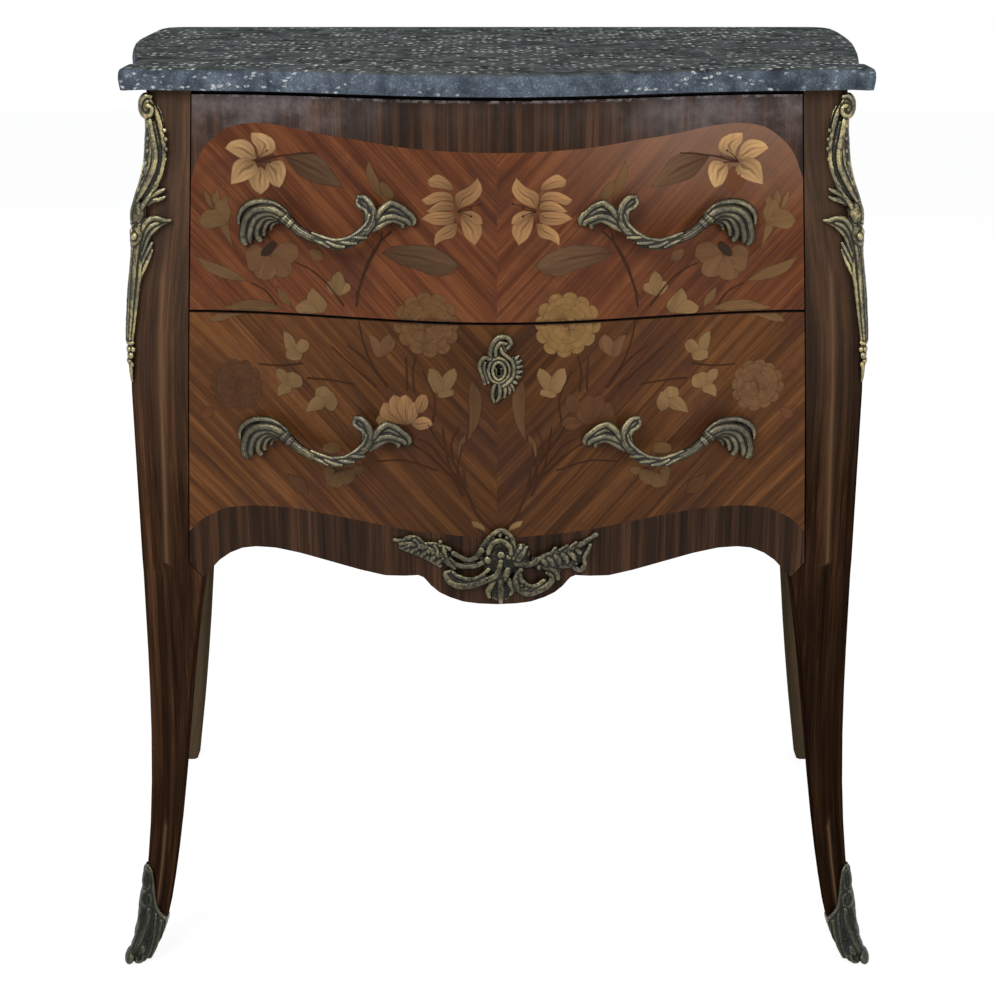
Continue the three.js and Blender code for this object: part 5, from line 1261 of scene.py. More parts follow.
def limb(work, points, stouter):
    """A round limb along points, each with its place and its radius, and with rounded ends."""
    path = smooth_path(points) if len(points) > 2 else np.array(points, float)
    path[:, 3] += stouter
    path = np.array(end_rings(path[0], path[1]) + list(path) + end_rings(path[-1], path[-2])[::-1])
    rings = []
    for place, way in zip(path, np.gradient(path[:, :3], axis=0)):
        way = Vector(way).normalized()
        across = way.cross(Vector((0, 0, 1)))
        across = across.normalized() if across.length > 0.05 else Vector((1, 0, 0))
        upright = across.cross(way).normalized()
        ring = []
        for i in range(LIMB_SIDES):
            turn = 2 * math.pi * i / LIMB_SIDES
            offset = (across * math.cos(turn) + upright * math.sin(turn)) * max(place[3], THINNEST)
            ring.append(work.verts.new((Vector(place[:3]) + offset) * MILLIMETRE))
        rings.append(ring)
    for a, b in zip(rings, rings[1:]):
        for i in range(LIMB_SIDES):
            then = (i + 1) % LIMB_SIDES
            work.faces.new((a[i], a[then], b[then], b[i]))
    work.faces.new(rings[0][::-1])
    work.faces.new(rings[-1])


def pad(work, place, radii):
    """A low boss: a ball that is drawn out along its three directions."""
    made = bmesh.ops.create_uvsphere(work, u_segments=20, v_segments=12, radius=MILLIMETRE)["verts"]
    bmesh.ops.scale(work, vec=radii, verts=made)
    bmesh.ops.translate(work, vec=Vector(place) * MILLIMETRE, verts=made)


def casting(name, limbs, pads=(), voxel=VOXEL, place=None, more=None, stouter=0.5, lumps=0.00018):
    """Limbs and bosses, fused into one skin and softened as cast metal is. It lies flat, facing +Z, or
    in its place."""
    mesh = bpy.data.meshes.new(name)
    work = bmesh.new()
    for points in limbs:
        limb(work, points, stouter)
    for centre, radii in pads:
        pad(work, centre, radii)
    if place:
        moved = place(*np.array([vertex.co[:] for vertex in work.verts]).T)
        for vertex, spot in zip(work.verts, moved):
            vertex.co = spot
    if more:
        more(work)
    bmesh.ops.recalc_face_normals(work, faces=work.faces)
    work.to_mesh(mesh)
    work.free()
    made = new_object(name, mesh)
    apply_modifier(made, "REMESH", mode="VOXEL", voxel_size=voxel)
    apply_modifier(made, "SMOOTH", factor=0.5, iterations=2)
    apply_modifier(made, "DISPLACE", texture=cast_lumps, strength=lumps)
    return made


def note_hollows(piece, gain=2600):
    """Records how deep each place lies below its surroundings, for the dirt in the hollows."""
    edges = np.empty(len(piece.data.edges) * 2, int)
    piece.data.edges.foreach_get("vertices", edges)
    a, b = edges.reshape(-1, 2).T
    places = read_places(piece)
    count = np.bincount(a, minlength=len(places)) + np.bincount(b, minlength=len(places))
    soft = places.copy()
    for _ in range(HOLLOW_ROUNDS):
        total = np.stack([np.bincount(a, soft[b, k], len(places)) + np.bincount(b, soft[a, k], len(places))
                          for k in range(3)], axis=1)
        soft = 0.5 * soft + 0.5 * total / np.maximum(count, 1)[:, None]
    depth = ((soft - places) * read_normals(piece)).sum(axis=1)
    write_attribute(piece, "hollow", np.clip(0.5 + depth * gain, 0, 1))


def shade_whole(piece):
    piece.data.polygons.foreach_set("use_smooth", [True] * len(piece.data.polygons))


def lay_copy(source, name, place, mirrored=False):
    """A copy of a flat piece with its own mesh, its points moved by a function to where it belongs."""
    made = source.copy()
    made.data = source.data.copy()
    made.name = made.data.name = name
    scene.collection.objects.link(made)
    write_places(made, place(*read_places(made).T))
    if mirrored:
        made.data.flip_normals()
    shade_whole(made)
    return made


def on_front(centre_x, centre_z, sign=1):
    """Places on the drawers' face: outwards or rightwards, upwards, and forwards from the veneer."""
    def place(u, v, w):
        x, z = centre_x + sign * u, centre_z + v
        return np.stack([x, front_y(x, z) - VENEER_LIFT - w, z], axis=1)
    return place


def bronze(name, worn, plain, dirt, gold_patches):
    """Bronze that is dark in its hollows and rubbed on its ridges, where patches of gold are partly left
    gilding and partly painted highlight.
    """
    made, tree = new_material(name)
    start = here(tree)
    hollow = attribute(tree, "hollow", "Fac")
    depth = reckon(tree, "MULTIPLY_ADD", noise(tree, start, 160, 4), 0.34, hollow)
    # patches of gold on the ridges: partly left gilding, partly painted highlight
    gold = reckon(
        tree, "MULTIPLY", between(tree, noise(tree, start, 60, 3), 0.45, 0.6, 0, gold_patches),
        between(tree, depth, 0.4, 0.66, 1, 0),
    )
    metal = three_tones(tree, depth, (worn, plain, dirt), (0.34, 0.64, 0.92))
    finish_surface(tree, {
        "Base Color": blend(tree, gold, metal, paint(196, 180, 126)),
        "Roughness": between(tree, depth, 0.35, 0.9, 0.24, 0.58),
        "Metallic": between(tree, depth, 0.68, 0.95, 1, 0.1),
        "Normal": bump(tree, noise(tree, start, 420, 4, 0.65), 0.0011, 0.6),
    })
    return made


dark_bronze = bronze("dark_bronze", paint(120, 114, 97), paint(54, 52, 43), paint(12, 12, 11), 0.26)
gilt_bronze = bronze("gilt_bronze", paint(122, 116, 94), paint(52, 49, 38), paint(9, 9, 8), 0.55)
dull_bronze = bronze("dull_bronze", paint(104, 100, 85), paint(42, 40, 33), paint(8, 8, 7), 0.2)
sooty_bronze = bronze("sooty_bronze", paint(74, 75, 64), paint(36, 37, 33), paint(9, 9, 8), 0.05)
flat_handle = casting("flat_handle", HANDLE_LIMBS)
note_hollows(flat_handle)
for level_name, offset, height in HANDLES:
    for side, sign in (("left", -1), ("right", 1)):
        place = on_front(sign * offset, height, sign)
        handle = lay_copy(flat_handle, f"{side}_{level_name}_handle", place, sign < 0)
        settle(handle, f"{level_name}_drawer", "brass", dark_bronze, f"{level_name}_{side}_handle")
bpy.data.objects.remove(flat_handle)


# Keyhole plate: a thin bronze casting, pinned over the keyhole. It has two rings, a scroll above and a
# ribbed shell beside them. The board and the veneer behind it are cut through for the key.
KEYHOLE_X = 0.0015
KEYHOLE_Z = 0.5683
KEYHOLE_ROUND = 0.0028        # the radius of its upper part
KEYHOLE_RISE = 0.0014
KEYHOLE_SLOT = 0.0016         # half the width of its lower part
KEYHOLE_DROP = 0.0064
KEYHOLE_SPARE = 0.0012        # how much wider the hole in the veneer is, all round
ROUND_CUT = 0.030             # how deep each of the two cuts goes
SLOT_CUT = 0.031
PLATE_VOXEL = 0.00034
# Limbs as on the handles, with their places taken from the keyhole, and pads: a place and three radii
PLATE_LIMBS = (
    # the inner and the outer ring
    ((-5.2, -2, 3.4, 1), (-3.6, 3.2, 3.6, 1.1), (0, 5.2, 3.8, 1.2), (3.6, 3.2, 3.8, 1.2),
     (5.2, -2, 3.4, 1), (3.6, -7, 3.2, 1), (0, -9.4, 3, 1), (-3.6, -7, 3.2, 1), (-5.2, -2, 3.4, 1)),
    ((-8.7, -2, 2.6, 1.2), (-6.2, 5, 2.8, 1.3), (0, 8.6, 3, 1.4), (6.2, 5, 2.8, 1.3), (8.7, -2, 2.6, 1.3),
     (6.2, -9, 2.4, 1.3), (0, -12.2, 2.4, 1.3), (-6.2, -9, 2.4, 1.2), (-8.7, -2, 2.6, 1.2)),
    # the scroll above
    ((-6, 8, 2, 1.6), (-7, 12, 2.4, 1.9), (-5, 20, 3, 2.1), (0, 25.4, 3.4, 2.2), (6.6, 25.4, 3.4, 2.1),
     (9.6, 21, 3, 1.9), (7.2, 16.8, 2.6, 1.5)),
    ((-2.4, 9, 2.6, 1.4), (-2.4, 16, 3.4, 1.6), (1, 21, 3.8, 1.6), (5.6, 20.6, 3.4, 1.3)),
    ((1, 17.4, 2.6, 1.1), (3, 13, 3.2, 1.4), (7, 9.6, 3.6, 1.5), (10.6, 6, 3.6, 1.5),
     (12.2, -0.4, 3.4, 1.5), (11, -7, 3.2, 1.5), (7, -12, 3.2, 1.6), (3.4, -14.6, 3, 1.4)),
    # the scroll on the left
    ((-7.4, 7.8, 3, 1.5), (-10.7, 8.9, 3.2, 1.9), (-14, 6.4, 3, 1.8), (-15.4, 2, 2.6, 1.6),
     (-14.4, -3, 2.4, 1.5), (-12.4, -8.4, 2.2, 1.5), (-11.4, -13, 2, 1.4)),
    ((-11.4, 4.6, 2.2, 1.3), (-11.8, -1, 2.2, 1.4), (-10.2, -7.4, 2, 1.4), (-8.4, -12, 1.8, 1.2)),
    # the ribs of the shell on the right
    ((10.6, 4, 2, 1.3), (13.6, 8, 2.4, 1.5), (15.4, 9.8, 1.8, 1.2)),
    ((11.4, 1.6, 2, 1.3), (15, 4.6, 2.6, 1.6), (17.4, 6, 1.8, 1.2)),
    ((11.8, -1, 2, 1.3), (15.6, 0.8, 2.6, 1.6), (18.4, 1.6, 1.8, 1.2)),
    ((11.6, -3.6, 2, 1.3), (15.4, -3.2, 2.6, 1.6), (18, -2.8, 1.8, 1.2)),
    ((11, -6, 2, 1.3), (14.4, -7, 2.6, 1.6), (16.8, -7.4, 1.8, 1.2)),
    ((9.6, -9, 2, 1.3), (12.6, -11.4, 2.4, 1.6), (14.4, -12.6, 1.6, 1.1)),
    ((7.6, -11.4, 2, 1.3), (10.2, -14.6, 2.2, 1.6), (12, -18.6, 1.4, 0.9)),
    # the leaves below
    ((-2.6, -12, 2.2, 1.3), (-4.6, -17.6, 2.6, 1.7), (-5.2, -23, 2.2, 1.6), (-3.8, -28, 1.4, 1)),
    ((0.4, -13, 2.4, 1.4), (0.8, -19, 3, 1.8), (0.2, -24, 2.2, 1.4), (-1.6, -27.4, 1.4, 0.9)),
    ((3.6, -13.4, 2.2, 1.4), (5, -18, 2.6, 1.6), (4.6, -23.8, 1.6, 1.1)),
    ((6.4, -12.6, 2, 1.3), (8.8, -16.6, 2.2, 1.4), (8.4, -20.8, 1.4, 1)),
)
PLATE_PADS = (
    ((0, -2, 0.4), (9, 11.4, 1.7)), ((0, 15, 0.2), (6, 9, 1.4)), ((-10.6, -2, 0.2), (4.4, 10, 1.4)),
    ((12, -3, 0.2), (5, 12, 1.4)), ((1, -18, 0.2), (6, 8, 1.3)), ((-7, 16.4, 2.4), (1.5, 1.7, 1.5)),
    ((-7.4, 11.6, 2.6), (1.7, 1.8, 1.6)),
)


def cut_keyhole(piece, centre, along, spare=0):
    """Cuts the round and the slot of the keyhole through a piece, along Z or along Y."""
    centre = Vector(centre)
    turn, up = (UPRIGHT, Vector((0, 1, 0))) if along == "Z" else (ALONG_Y, Vector((0, 0, 1)))
    bpy.ops.mesh.primitive_cylinder_add(
        vertices=32, radius=KEYHOLE_ROUND + spare, depth=ROUND_CUT, location=centre + up * KEYHOLE_RISE,
        rotation=turn,
    )
    round_part = bpy.context.object
    middle = centre - up * (KEYHOLE_DROP - KEYHOLE_RISE) / 2
    bpy.ops.mesh.primitive_cube_add(size=1, location=middle, rotation=turn)
    slot_part = bpy.context.object
    slot_part.scale = (2 * (KEYHOLE_SLOT + spare), KEYHOLE_DROP + KEYHOLE_RISE + 2 * spare, SLOT_CUT)
    for cutter in (round_part, slot_part):
        apply_modifier(piece, "BOOLEAN", object=cutter, operation="DIFFERENCE")
        bpy.data.objects.remove(cutter)


flat_plate = casting("flat_plate", PLATE_LIMBS, PLATE_PADS, voxel=PLATE_VOXEL, stouter=0.3)
note_hollows(flat_plate, gain=3200)
cut_keyhole(flat_plate, (0, 0, 0), "Z")
plate = lay_copy(flat_plate, "rococo_keyhole_plate", on_front(KEYHOLE_X, KEYHOLE_Z))
settle(plate, "lower_drawer", "brass", dark_bronze, "keyhole_plate")
bpy.data.objects.remove(flat_plate)
# the lower board is nearly black: painted shadow in the seam and in the keyhole
board = merged_copy("lower_drawer_front", "lower_drawer_board")
shade(board)
settle(board, "lower_drawer", "dark_veneer", gap_shadow_wood, "lower_drawer_front")
for piece in (bpy.data.objects["lower_field"], board):
    cut_keyhole(piece, (KEYHOLE_X, front_y(0, KEYHOLE_Z), KEYHOLE_Z), "Y", KEYHOLE_SPARE)


# Apron mount: an uneven rococo cartouche, a shell hood over a boss, with scrolls and leaves to both
# sides. It is a bronze casting, pinned on the middle of the apron.
APRON_MOUNT_Z = 0.3955
APRON_LOOK = 0.386            # how steeply it was seen from above when its places were taken
LOOK_DEPTH = 0.003            # how far in front of the apron's middle the table's heights hold
MOUNT_REACH = (1.07, 1.045)   # how much wider it is to the left and to the right than the table says
MOUNT_RISE = 1.12
# Limbs and pads as on the keyhole plate, with their places taken from the mount's middle
HOOD = (
    ((-13, 9, 3, 2.2), (-13.4, 13, 3.4, 2.2), (-8.8, 19.6, 3.8, 2.2), (-3, 26, 4, 2.2), (3.1, 29, 4, 2.3),
     (9, 26, 4, 2.2), (12.6, 19, 3.8, 2.2), (12.4, 10, 3.4, 2)),
    ((-6.6, 12, 6, 1.5), (-5.4, 16, 6.4, 1.7), (-1.4, 20.4, 6.6, 1.8), (4.2, 21, 6.6, 1.8),
     (9.8, 16.6, 6.4, 1.7), (11, 11.4, 6, 1.5)),
    ((-5, 17, 5.4, 1), (-8, 20, 5, 1.1)), ((-2, 20.6, 5.8, 1), (-3.6, 25, 5, 1.1)),
    ((2, 21.6, 5.8, 1), (2.6, 27.6, 5, 1.1)), ((6, 20.4, 5.8, 1), (8.4, 25, 5, 1.1)),
    ((9.4, 17.4, 5.4, 1), (12.2, 20.4, 5, 1.1)),
)
LEFT_SCROLLS = (
    ((-12, 14, 4.4, 2.4), (-16, 8.6, 4, 2), (-22, 6, 4, 1.9), (-28.6, 8.6, 3.8, 1.8),
     (-34, 11.6, 3.4, 1.6)),
    ((-10, 4.6, 4, 1.8), (-16, 1.8, 4, 1.9), (-23, 0.8, 4, 2), (-31.5, 2.4, 3.8, 1.9),
     (-38.4, 7.6, 3.4, 1.8)),
    ((2.4, 2, 5, 2.2), (-0.4, -6.6, 5, 2.5), (-8.6, -11, 4.8, 2.6), (-19.6, -15.4, 4.4, 2.5),
     (-30.2, -15.8, 4, 2.4), (-37.4, -11.2, 3.6, 2.2), (-39.9, -5.4, 3.2, 1.9), (-36.6, -3.4, 3, 1.5)),
    ((-6.6, -1.6, 4.6, 1.6), (-13.4, -8.2, 4.8, 1.8), (-22, -10.4, 4.6, 1.9), (-30, -7.8, 4, 1.7),
     (-34.6, -4.2, 3.4, 1.3)),
    ((-10, -6.4, 3.6, 1.2), (-20, -12.8, 3.6, 1.3), (-30, -12, 3.2, 1.2), (-36.6, -7.4, 2.8, 1)),
)
LEFT_LEAF = (
    ((-33, 1, 2.8, 2.6), (-41, 7.6, 3.4, 2.8), (-50, 12.8, 3.8, 2.6), (-58, 16.4, 3.6, 2.3),
     (-66, 18.6, 2.8, 2), (-75, 18.8, 2, 1.4)),
    ((-37, 14.6, 2.6, 1.5), (-43.5, 17, 2.8, 1.6), (-50.6, 18.8, 2.8, 1.6), (-56.6, 19, 2.6, 1.5),
     (-62, 23.4, 2.4, 1.6), (-67.4, 24.2, 2.2, 1.5), (-74, 21.8, 1.8, 1.3), (-80, 22.4, 1.4, 0.9)),
    ((-44.4, 2.2, 2.4, 1.7), (-51.8, 6.8, 2.6, 1.8), (-59, 10.4, 2.4, 1.7), (-67, 13.4, 2, 1.5),
     (-75.4, 16.6, 1.6, 1)),
    ((-40, 9, 4.6, 1.6), (-41.6, 15.4, 3.2, 1.7)), ((-46, 10.6, 5, 1.7), (-48.4, 17.2, 3.2, 1.8)),
    ((-53, 13, 5, 1.7), (-55.6, 18.2, 3, 1.8)), ((-60, 16.6, 4.4, 1.5), (-64, 22, 2.8, 1.7)),
    ((-42, 7.6, 4.8, 1.6), (-46, 4, 3, 1.7)), ((-47, 11, 4.8, 1.7), (-51, 6.4, 3, 1.8)),
    ((-54, 13.6, 4.8, 1.7), (-58.4, 10, 3, 1.7)), ((-61, 16.4, 4, 1.5), (-66.4, 13, 2.6, 1.5)),
    ((-68, 18.4, 3.2, 1.4), (-73.6, 16, 2, 1.2)), ((-47, 13, 3.2, 1.6), (-44, 20.4, 2.6, 1.3)),
)
RIGHT_LEAF = (
    ((15.6, 3, 3.4, 2.4), (26, 2.6, 3.6, 2.3), (35, 7.4, 4, 2.3), (43.7, 11, 4, 2.2),
     (52.4, 12.8, 3.6, 2.1), (61.4, 16, 3, 1.9), (69, 20, 2.4, 1.7), (76, 24.8, 1.8, 1.3),
     (79, 26.4, 1.6, 1.5)),
    ((33.6, 0, 3, 1.8), (42.5, 2.4, 3.4, 2), (50.9, 1.6, 3, 1.9), (57, 2.4, 2.6, 1.8),
     (62.8, 3.6, 2.2, 1.5)),
    ((60, 4, 2.4, 1.4), (62, 0.4, 2.2, 1.6), (66.6, -1.6, 2, 1.7), (70, 2.2, 2, 1.6), (69.6, 8, 2.2, 1.5),
     (72.2, 12.8, 2.2, 1.4), (74.4, 18, 1.8, 1.1)),
    ((38, 0.6, 4, 1.9), (44.6, -1.4, 4.2, 2.1), (47.6, -5, 3.6, 1.9), (48.8, -9.4, 2.6, 1.3)),
    ((36, 6, 5, 1.6), (38.6, 3.6, 5, 2), (40, -0.4, 3.6, 1.8)),
    ((40.6, 7.6, 5, 1.8), (43.4, 5, 5, 2.2), (44.6, 0.4, 3.8, 2)),
    ((46, 9.6, 5, 1.8), (48.6, 6.4, 4.8, 2.2), (50.4, 2.2, 3.6, 2)),
    ((51.6, 11, 4.6, 1.7), (54.6, 7.6, 4.4, 2.1), (56.2, 3.6, 3, 1.8)),
    ((57, 12.6, 4, 1.6), (60.4, 9.6, 3.8, 1.9), (62.2, 6.4, 2.6, 1.6)),
    ((62.6, 15, 3.4, 1.4), (65.8, 12.2, 3, 1.6)), ((44, 11.6, 4.6, 1.5), (46.4, 15.2, 3, 1.5)),
    ((50, 13.2, 4.4, 1.5), (55.6, 17, 2.8, 1.6)), ((58, 15.6, 3.8, 1.4), (62.8, 19.6, 2.4, 1.5)),
    ((17, 7, 4, 2.6), (20, 10.4, 4, 2.2), (23.4, 16.2, 2.6, 1.2)),
    ((14, 8, 4, 2.2), (18, 14, 3.4, 1.8), (19, 17.6, 2.4, 1.1)),
)
RIGHT_SCROLL = (
    ((19, -1.6, 3.4, 1.8), (15.6, -7.4, 3.8, 2.2), (15.2, -14.4, 4, 2.4), (19.4, -20.2, 4, 2.5),
     (25.8, -22.6, 4, 2.4), (35, -19.4, 3.8, 2.3), (42.2, -13.6, 3.4, 2.1), (43.6, -7.8, 3, 1.8),
     (40.2, -4.6, 2.8, 1.5)),
    ((17.6, -4.8, 4.2, 1.5), (19.8, -11, 4.6, 1.8), (24.6, -15.6, 4.6, 1.9), (31.6, -15.6, 4.4, 1.8),
     (37.2, -11.4, 3.8, 1.5)),
    ((17, -18, 5.2, 1), (22.6, -14.6, 5, 1.1)), ((20.6, -21.6, 5.2, 1), (25, -16.6, 5, 1.1)),
    ((25.4, -23, 5, 1), (28.6, -16.8, 5, 1.1)),
)
FOOT_LEAVES = (
    ((3, -9, 4, 2.2), (3.2, -18, 4, 2.6), (3, -24, 3.2, 2.2), (3.1, -30.6, 2, 1.1)),
    ((-1.6, -10, 3.6, 2), (-4.8, -16, 3.6, 2.2), (-6.8, -21, 2.8, 1.9), (-6, -25.6, 2, 1.2)),
    ((8, -9, 3.6, 2), (10.6, -14.4, 3.6, 2.1), (12.4, -19.6, 2.8, 1.7), (10.6, -23.6, 2, 1)),
    ((8.8, -1.4, 5.4, 1.9), (7.4, -5.4, 5.8, 2.5), (6.4, -9.4, 5, 1.9)),
    ((3, 5, 5, 1.9), (1.6, -2, 5, 1.9), (3.4, -9, 4.6, 1.8)),
)
APRON_PADS = (
    ((3, 10.2, 5.4), (3.6, 3.4, 3)), ((9.4, 8.6, 4.8), (2.8, 2.8, 2.4)),
    ((-7.4, 6, 4.6), (3.4, 3.4, 2.8)), ((3, 4, 2), (15, 12, 3)), ((3, 16, 1), (13, 12, 2.6)),
    ((-44, 9, 0), (10, 7, 2.6)), ((-56, 14, 0), (11, 6.5, 2.6)), ((-68, 19, 0), (10, 4.5, 2)),
    ((3, -17, 0), (11, 13, 2.6)), ((36, 4, 0), (11, 6, 2.6)), ((50, 8, 0), (12, 7.5, 2.6)),
    ((64, 11, 0), (9, 9, 2)), ((19, 9, 2), (8, 11, 3)), ((26, -19.5, 0), (10, 4.4, 2.2)),
    ((45, -2, 0), (6, 7, 2)),
)


def on_apron(u, v, w):
    """Places on the apron, taken as they look from the front and above, set back on the curved face."""
    u = u * np.where(u < 0, *MOUNT_REACH)
    v = v * np.where(v > 0, MOUNT_RISE, 1)
    z = np.full_like(u, APRON_MOUNT_Z)
    for _ in range(4):
        set_back = front_y(u, z) - w - front_y(0, APRON_MOUNT_Z)
        z = APRON_MOUNT_Z + v - APRON_LOOK * (set_back + LOOK_DEPTH)
    return np.stack([u, front_y(u, z) - VENEER_LIFT - w, z], axis=1)


APRON_LIMBS = HOOD + LEFT_SCROLLS + LEFT_LEAF + RIGHT_LEAF + RIGHT_SCROLL + FOOT_LEAVES
flat_mount = casting("flat_mount", APRON_LIMBS, APRON_PADS, stouter=0.75, lumps=0.0005)
note_hollows(flat_mount, gain=2800)
mount = lay_copy(flat_mount, "rococo_apron_mount", on_apron)
settle(mount, "lower_drawer", "brass", dull_bronze, "apron_mount")
bpy.data.objects.remove(flat_mount)


# Corner mounts and shoes: bronze castings that wrap round the outer edges of the front legs. A looped
# scroll and leaves above, a fluted husk with berries below, and a shoe with a tongue of ovals.
SHOE_COVER = 0.0012
EDGE_LIFT = 1.2               # millimetres that these castings stand off the wood, beyond the tables
FOOT_CUT_PLACE = (0.330, -0.195, 0.047)   # the shoe's upper edge, which rises towards the leg's corner
FOOT_CUT_NORMAL = (-0.25, 0.25, 1)
FLOOR_GAP = 0.0003
# Limbs and pads in millimetres: inwards from the outline, above the floor, off the leg, and the radii
CORNER_LIMBS = (
    # the curl at the top, and the three strands of the loop
    ((5, 777.4, 3, 1.8), (0.8, 777.6, 4.2, 2.2), (-2.8, 773.4, 4.8, 2.4), (-3, 767, 4.8, 2.4),
     (0.4, 762.6, 4.8, 2.3), (5, 763.6, 5, 2), (6, 768.4, 5.4, 1.8), (3.2, 770.6, 5.8, 1.7)),
    ((1, 777, 2.5, 1.6), (5, 773, 3, 1.8), (9.6, 765, 3, 1.9), (12.2, 757, 3, 1.9),
     (14.2, 749.5, 2.8, 1.9), (16, 741, 2.6, 2), (16.6, 732.5, 2.6, 2), (16.6, 725, 2.6, 2),
     (15.4, 717, 2.8, 2), (12.8, 709.8, 3, 2), (8.6, 704, 3, 2), (3.5, 698.5, 3, 1.9)),
    ((2.2, 768, 4, 1.4), (4.5, 758.5, 4.6, 1.7), (6.6, 749, 5, 1.9), (8.9, 739, 5.2, 2.1),
     (10.4, 730.5, 5.4, 2.2), (9.6, 721, 5.4, 2.2), (6.4, 711.5, 5.4, 2.1), (2.3, 702.5, 5.4, 2),
     (-1.6, 696, 5.6, 1.8), (-4.6, 692, 5.6, 1.6)),
    ((4, 762, 1.8, 1.6), (5, 751.5, 1.2, 1.6), (5.6, 740, 1.2, 1.6), (5.6, 729.5, 1.6, 1.7),
     (4, 718.5, 2.2, 1.8), (0.8, 710, 3.2, 1.8), (-2, 701.5, 4.6, 1.8), (-4.4, 694, 5.8, 1.7)),
    ((7.4, 757, 3.2, 1), (10.6, 744, 3.4, 1.2), (13, 731, 3.6, 1.3), (12.6, 720, 3.6, 1.3),
     (9, 710, 3.8, 1.2), (5, 703, 4, 1.1)),
    # the first leaf, and the neck
    ((4, 694, 4, 2), (10, 699.4, 3.4, 2.2), (14.8, 701.6, 2.6, 1.9), (19, 703.8, 1.8, 1.2)),
    ((4.5, 691, 4, 1.9), (11.3, 694.7, 3, 2), (16.2, 695.8, 2.2, 1.7), (20, 697.5, 1.6, 1.1)),
    ((13, 708, 2.8, 1.6), (7.6, 698, 4.4, 2), (2.6, 689, 5.4, 2.2), (1, 681.5, 5.6, 2),
     (0, 677, 5.4, 1.8)),
    ((-4.6, 692, 5.6, 2), (-6, 684, 6.2, 2.2), (-5, 677, 5.6, 2)),
    ((4.6, 690, 3.6, 1.6), (4.4, 683, 4, 1.7), (4, 677, 4, 1.5)),
    ((-5.4, 675.2, 5.4, 1.8), (-2.4, 674.6, 5.2, 1.9), (1.4, 675, 5, 1.9), (4, 676.4, 4.2, 1.5)),
    ((-4, 660.5, 4.4, 1.7), (-1.6, 660.4, 4.4, 1.8), (2, 661.4, 4.2, 1.6)),
    # the large leaf that rises inwards, and two small ones
    ((2.2, 638, 3, 1.4), (2.4, 651.4, 4, 1.8), (3.4, 664.8, 4.6, 2.1), (6, 674.4, 4.6, 2.3),
     (10, 679.6, 4.2, 2.3), (16, 680.6, 3.4, 2.1), (22.4, 679, 2.2, 1.6), (26.6, 678.8, 1.2, 0.9)),
    ((3.7, 641.3, 3, 1.3), (6.6, 653, 3, 1.7), (9.6, 663.9, 2.8, 1.9), (13.8, 670.6, 2.4, 1.9),
     (19.5, 675.6, 1.8, 1.5), (24, 677.6, 1.2, 1)),
    ((2.9, 639.6, 3, 1.2), (4.5, 653, 3.6, 1.6), (6.6, 666, 4, 1.9), (9.8, 672.6, 3.8, 2),
     (15.4, 676.4, 3, 1.8), (22, 677.8, 1.8, 1.2)),
    ((5.6, 640, 2.6, 1.4), (8.8, 648.8, 2.4, 1.6), (11.4, 654.7, 2, 1.4), (13.6, 660, 1.6, 1)),
    ((6.6, 632, 2.4, 1.4), (9, 638, 2.2, 1.6), (11.6, 645, 2, 1.4), (14.2, 654, 1.4, 0.9)),
    # the flutes of the husk, its rim, and the point
    ((-2, 656, 3, 1.8), (-1.6, 640, 2.4, 1.9), (-0.9, 624, 2, 1.8), (-0.4, 607, 1.8, 1.6),
     (-0.2, 590, 1.6, 1.5), (-0.2, 578, 1.6, 1.4)),
    ((0.9, 655, 3.6, 1.8), (1.4, 640, 3, 2), (2, 616, 2.4, 1.9), (2.1, 597, 2.2, 1.6),
     (1.5, 578, 2, 1.4)),
    ((4.4, 650, 3, 1.7), (6.4, 637, 2.6, 1.8), (5.6, 622, 2.2, 1.7), (5.2, 605, 2, 1.5),
     (4.2, 590, 1.8, 1.4), (3.2, 579, 1.8, 1.3)),
    ((-0.8, 576.6, 2, 1.5), (1.6, 576, 2.4, 1.6), (3.8, 576.6, 2, 1.4)),
    ((2, 559, 1.8, 1.5), (2.2, 550, 1.2, 1.2), (2.4, 543.6, 0.7, 0.7)),
    # the same loop and leaf on the side of the leg
    ((-2.6, 776, 2, 1.5), (-8, 768, 1, 1.5), (-12, 757, 0.4, 1.5), (-14, 744, 0.2, 1.5),
     (-14, 730, 0.2, 1.6), (-12, 717, 0.6, 1.7), (-9, 706, 1.8, 1.7), (-7, 697, 3.4, 1.7)),
    ((-7, 690, 3.6, 1.8), (-12, 682, 3, 2), (-18, 679, 2, 1.6), (-23, 679, 1.2, 0.9)),
    ((-6, 660, 3, 1.6), (-8, 648, 2.2, 1.6), (-6, 630, 1.8, 1.5), (-4, 610, 1.6, 1.4),
     (-3, 590, 1.4, 1.2), (-2.6, 578, 1.4, 1.1)),
)
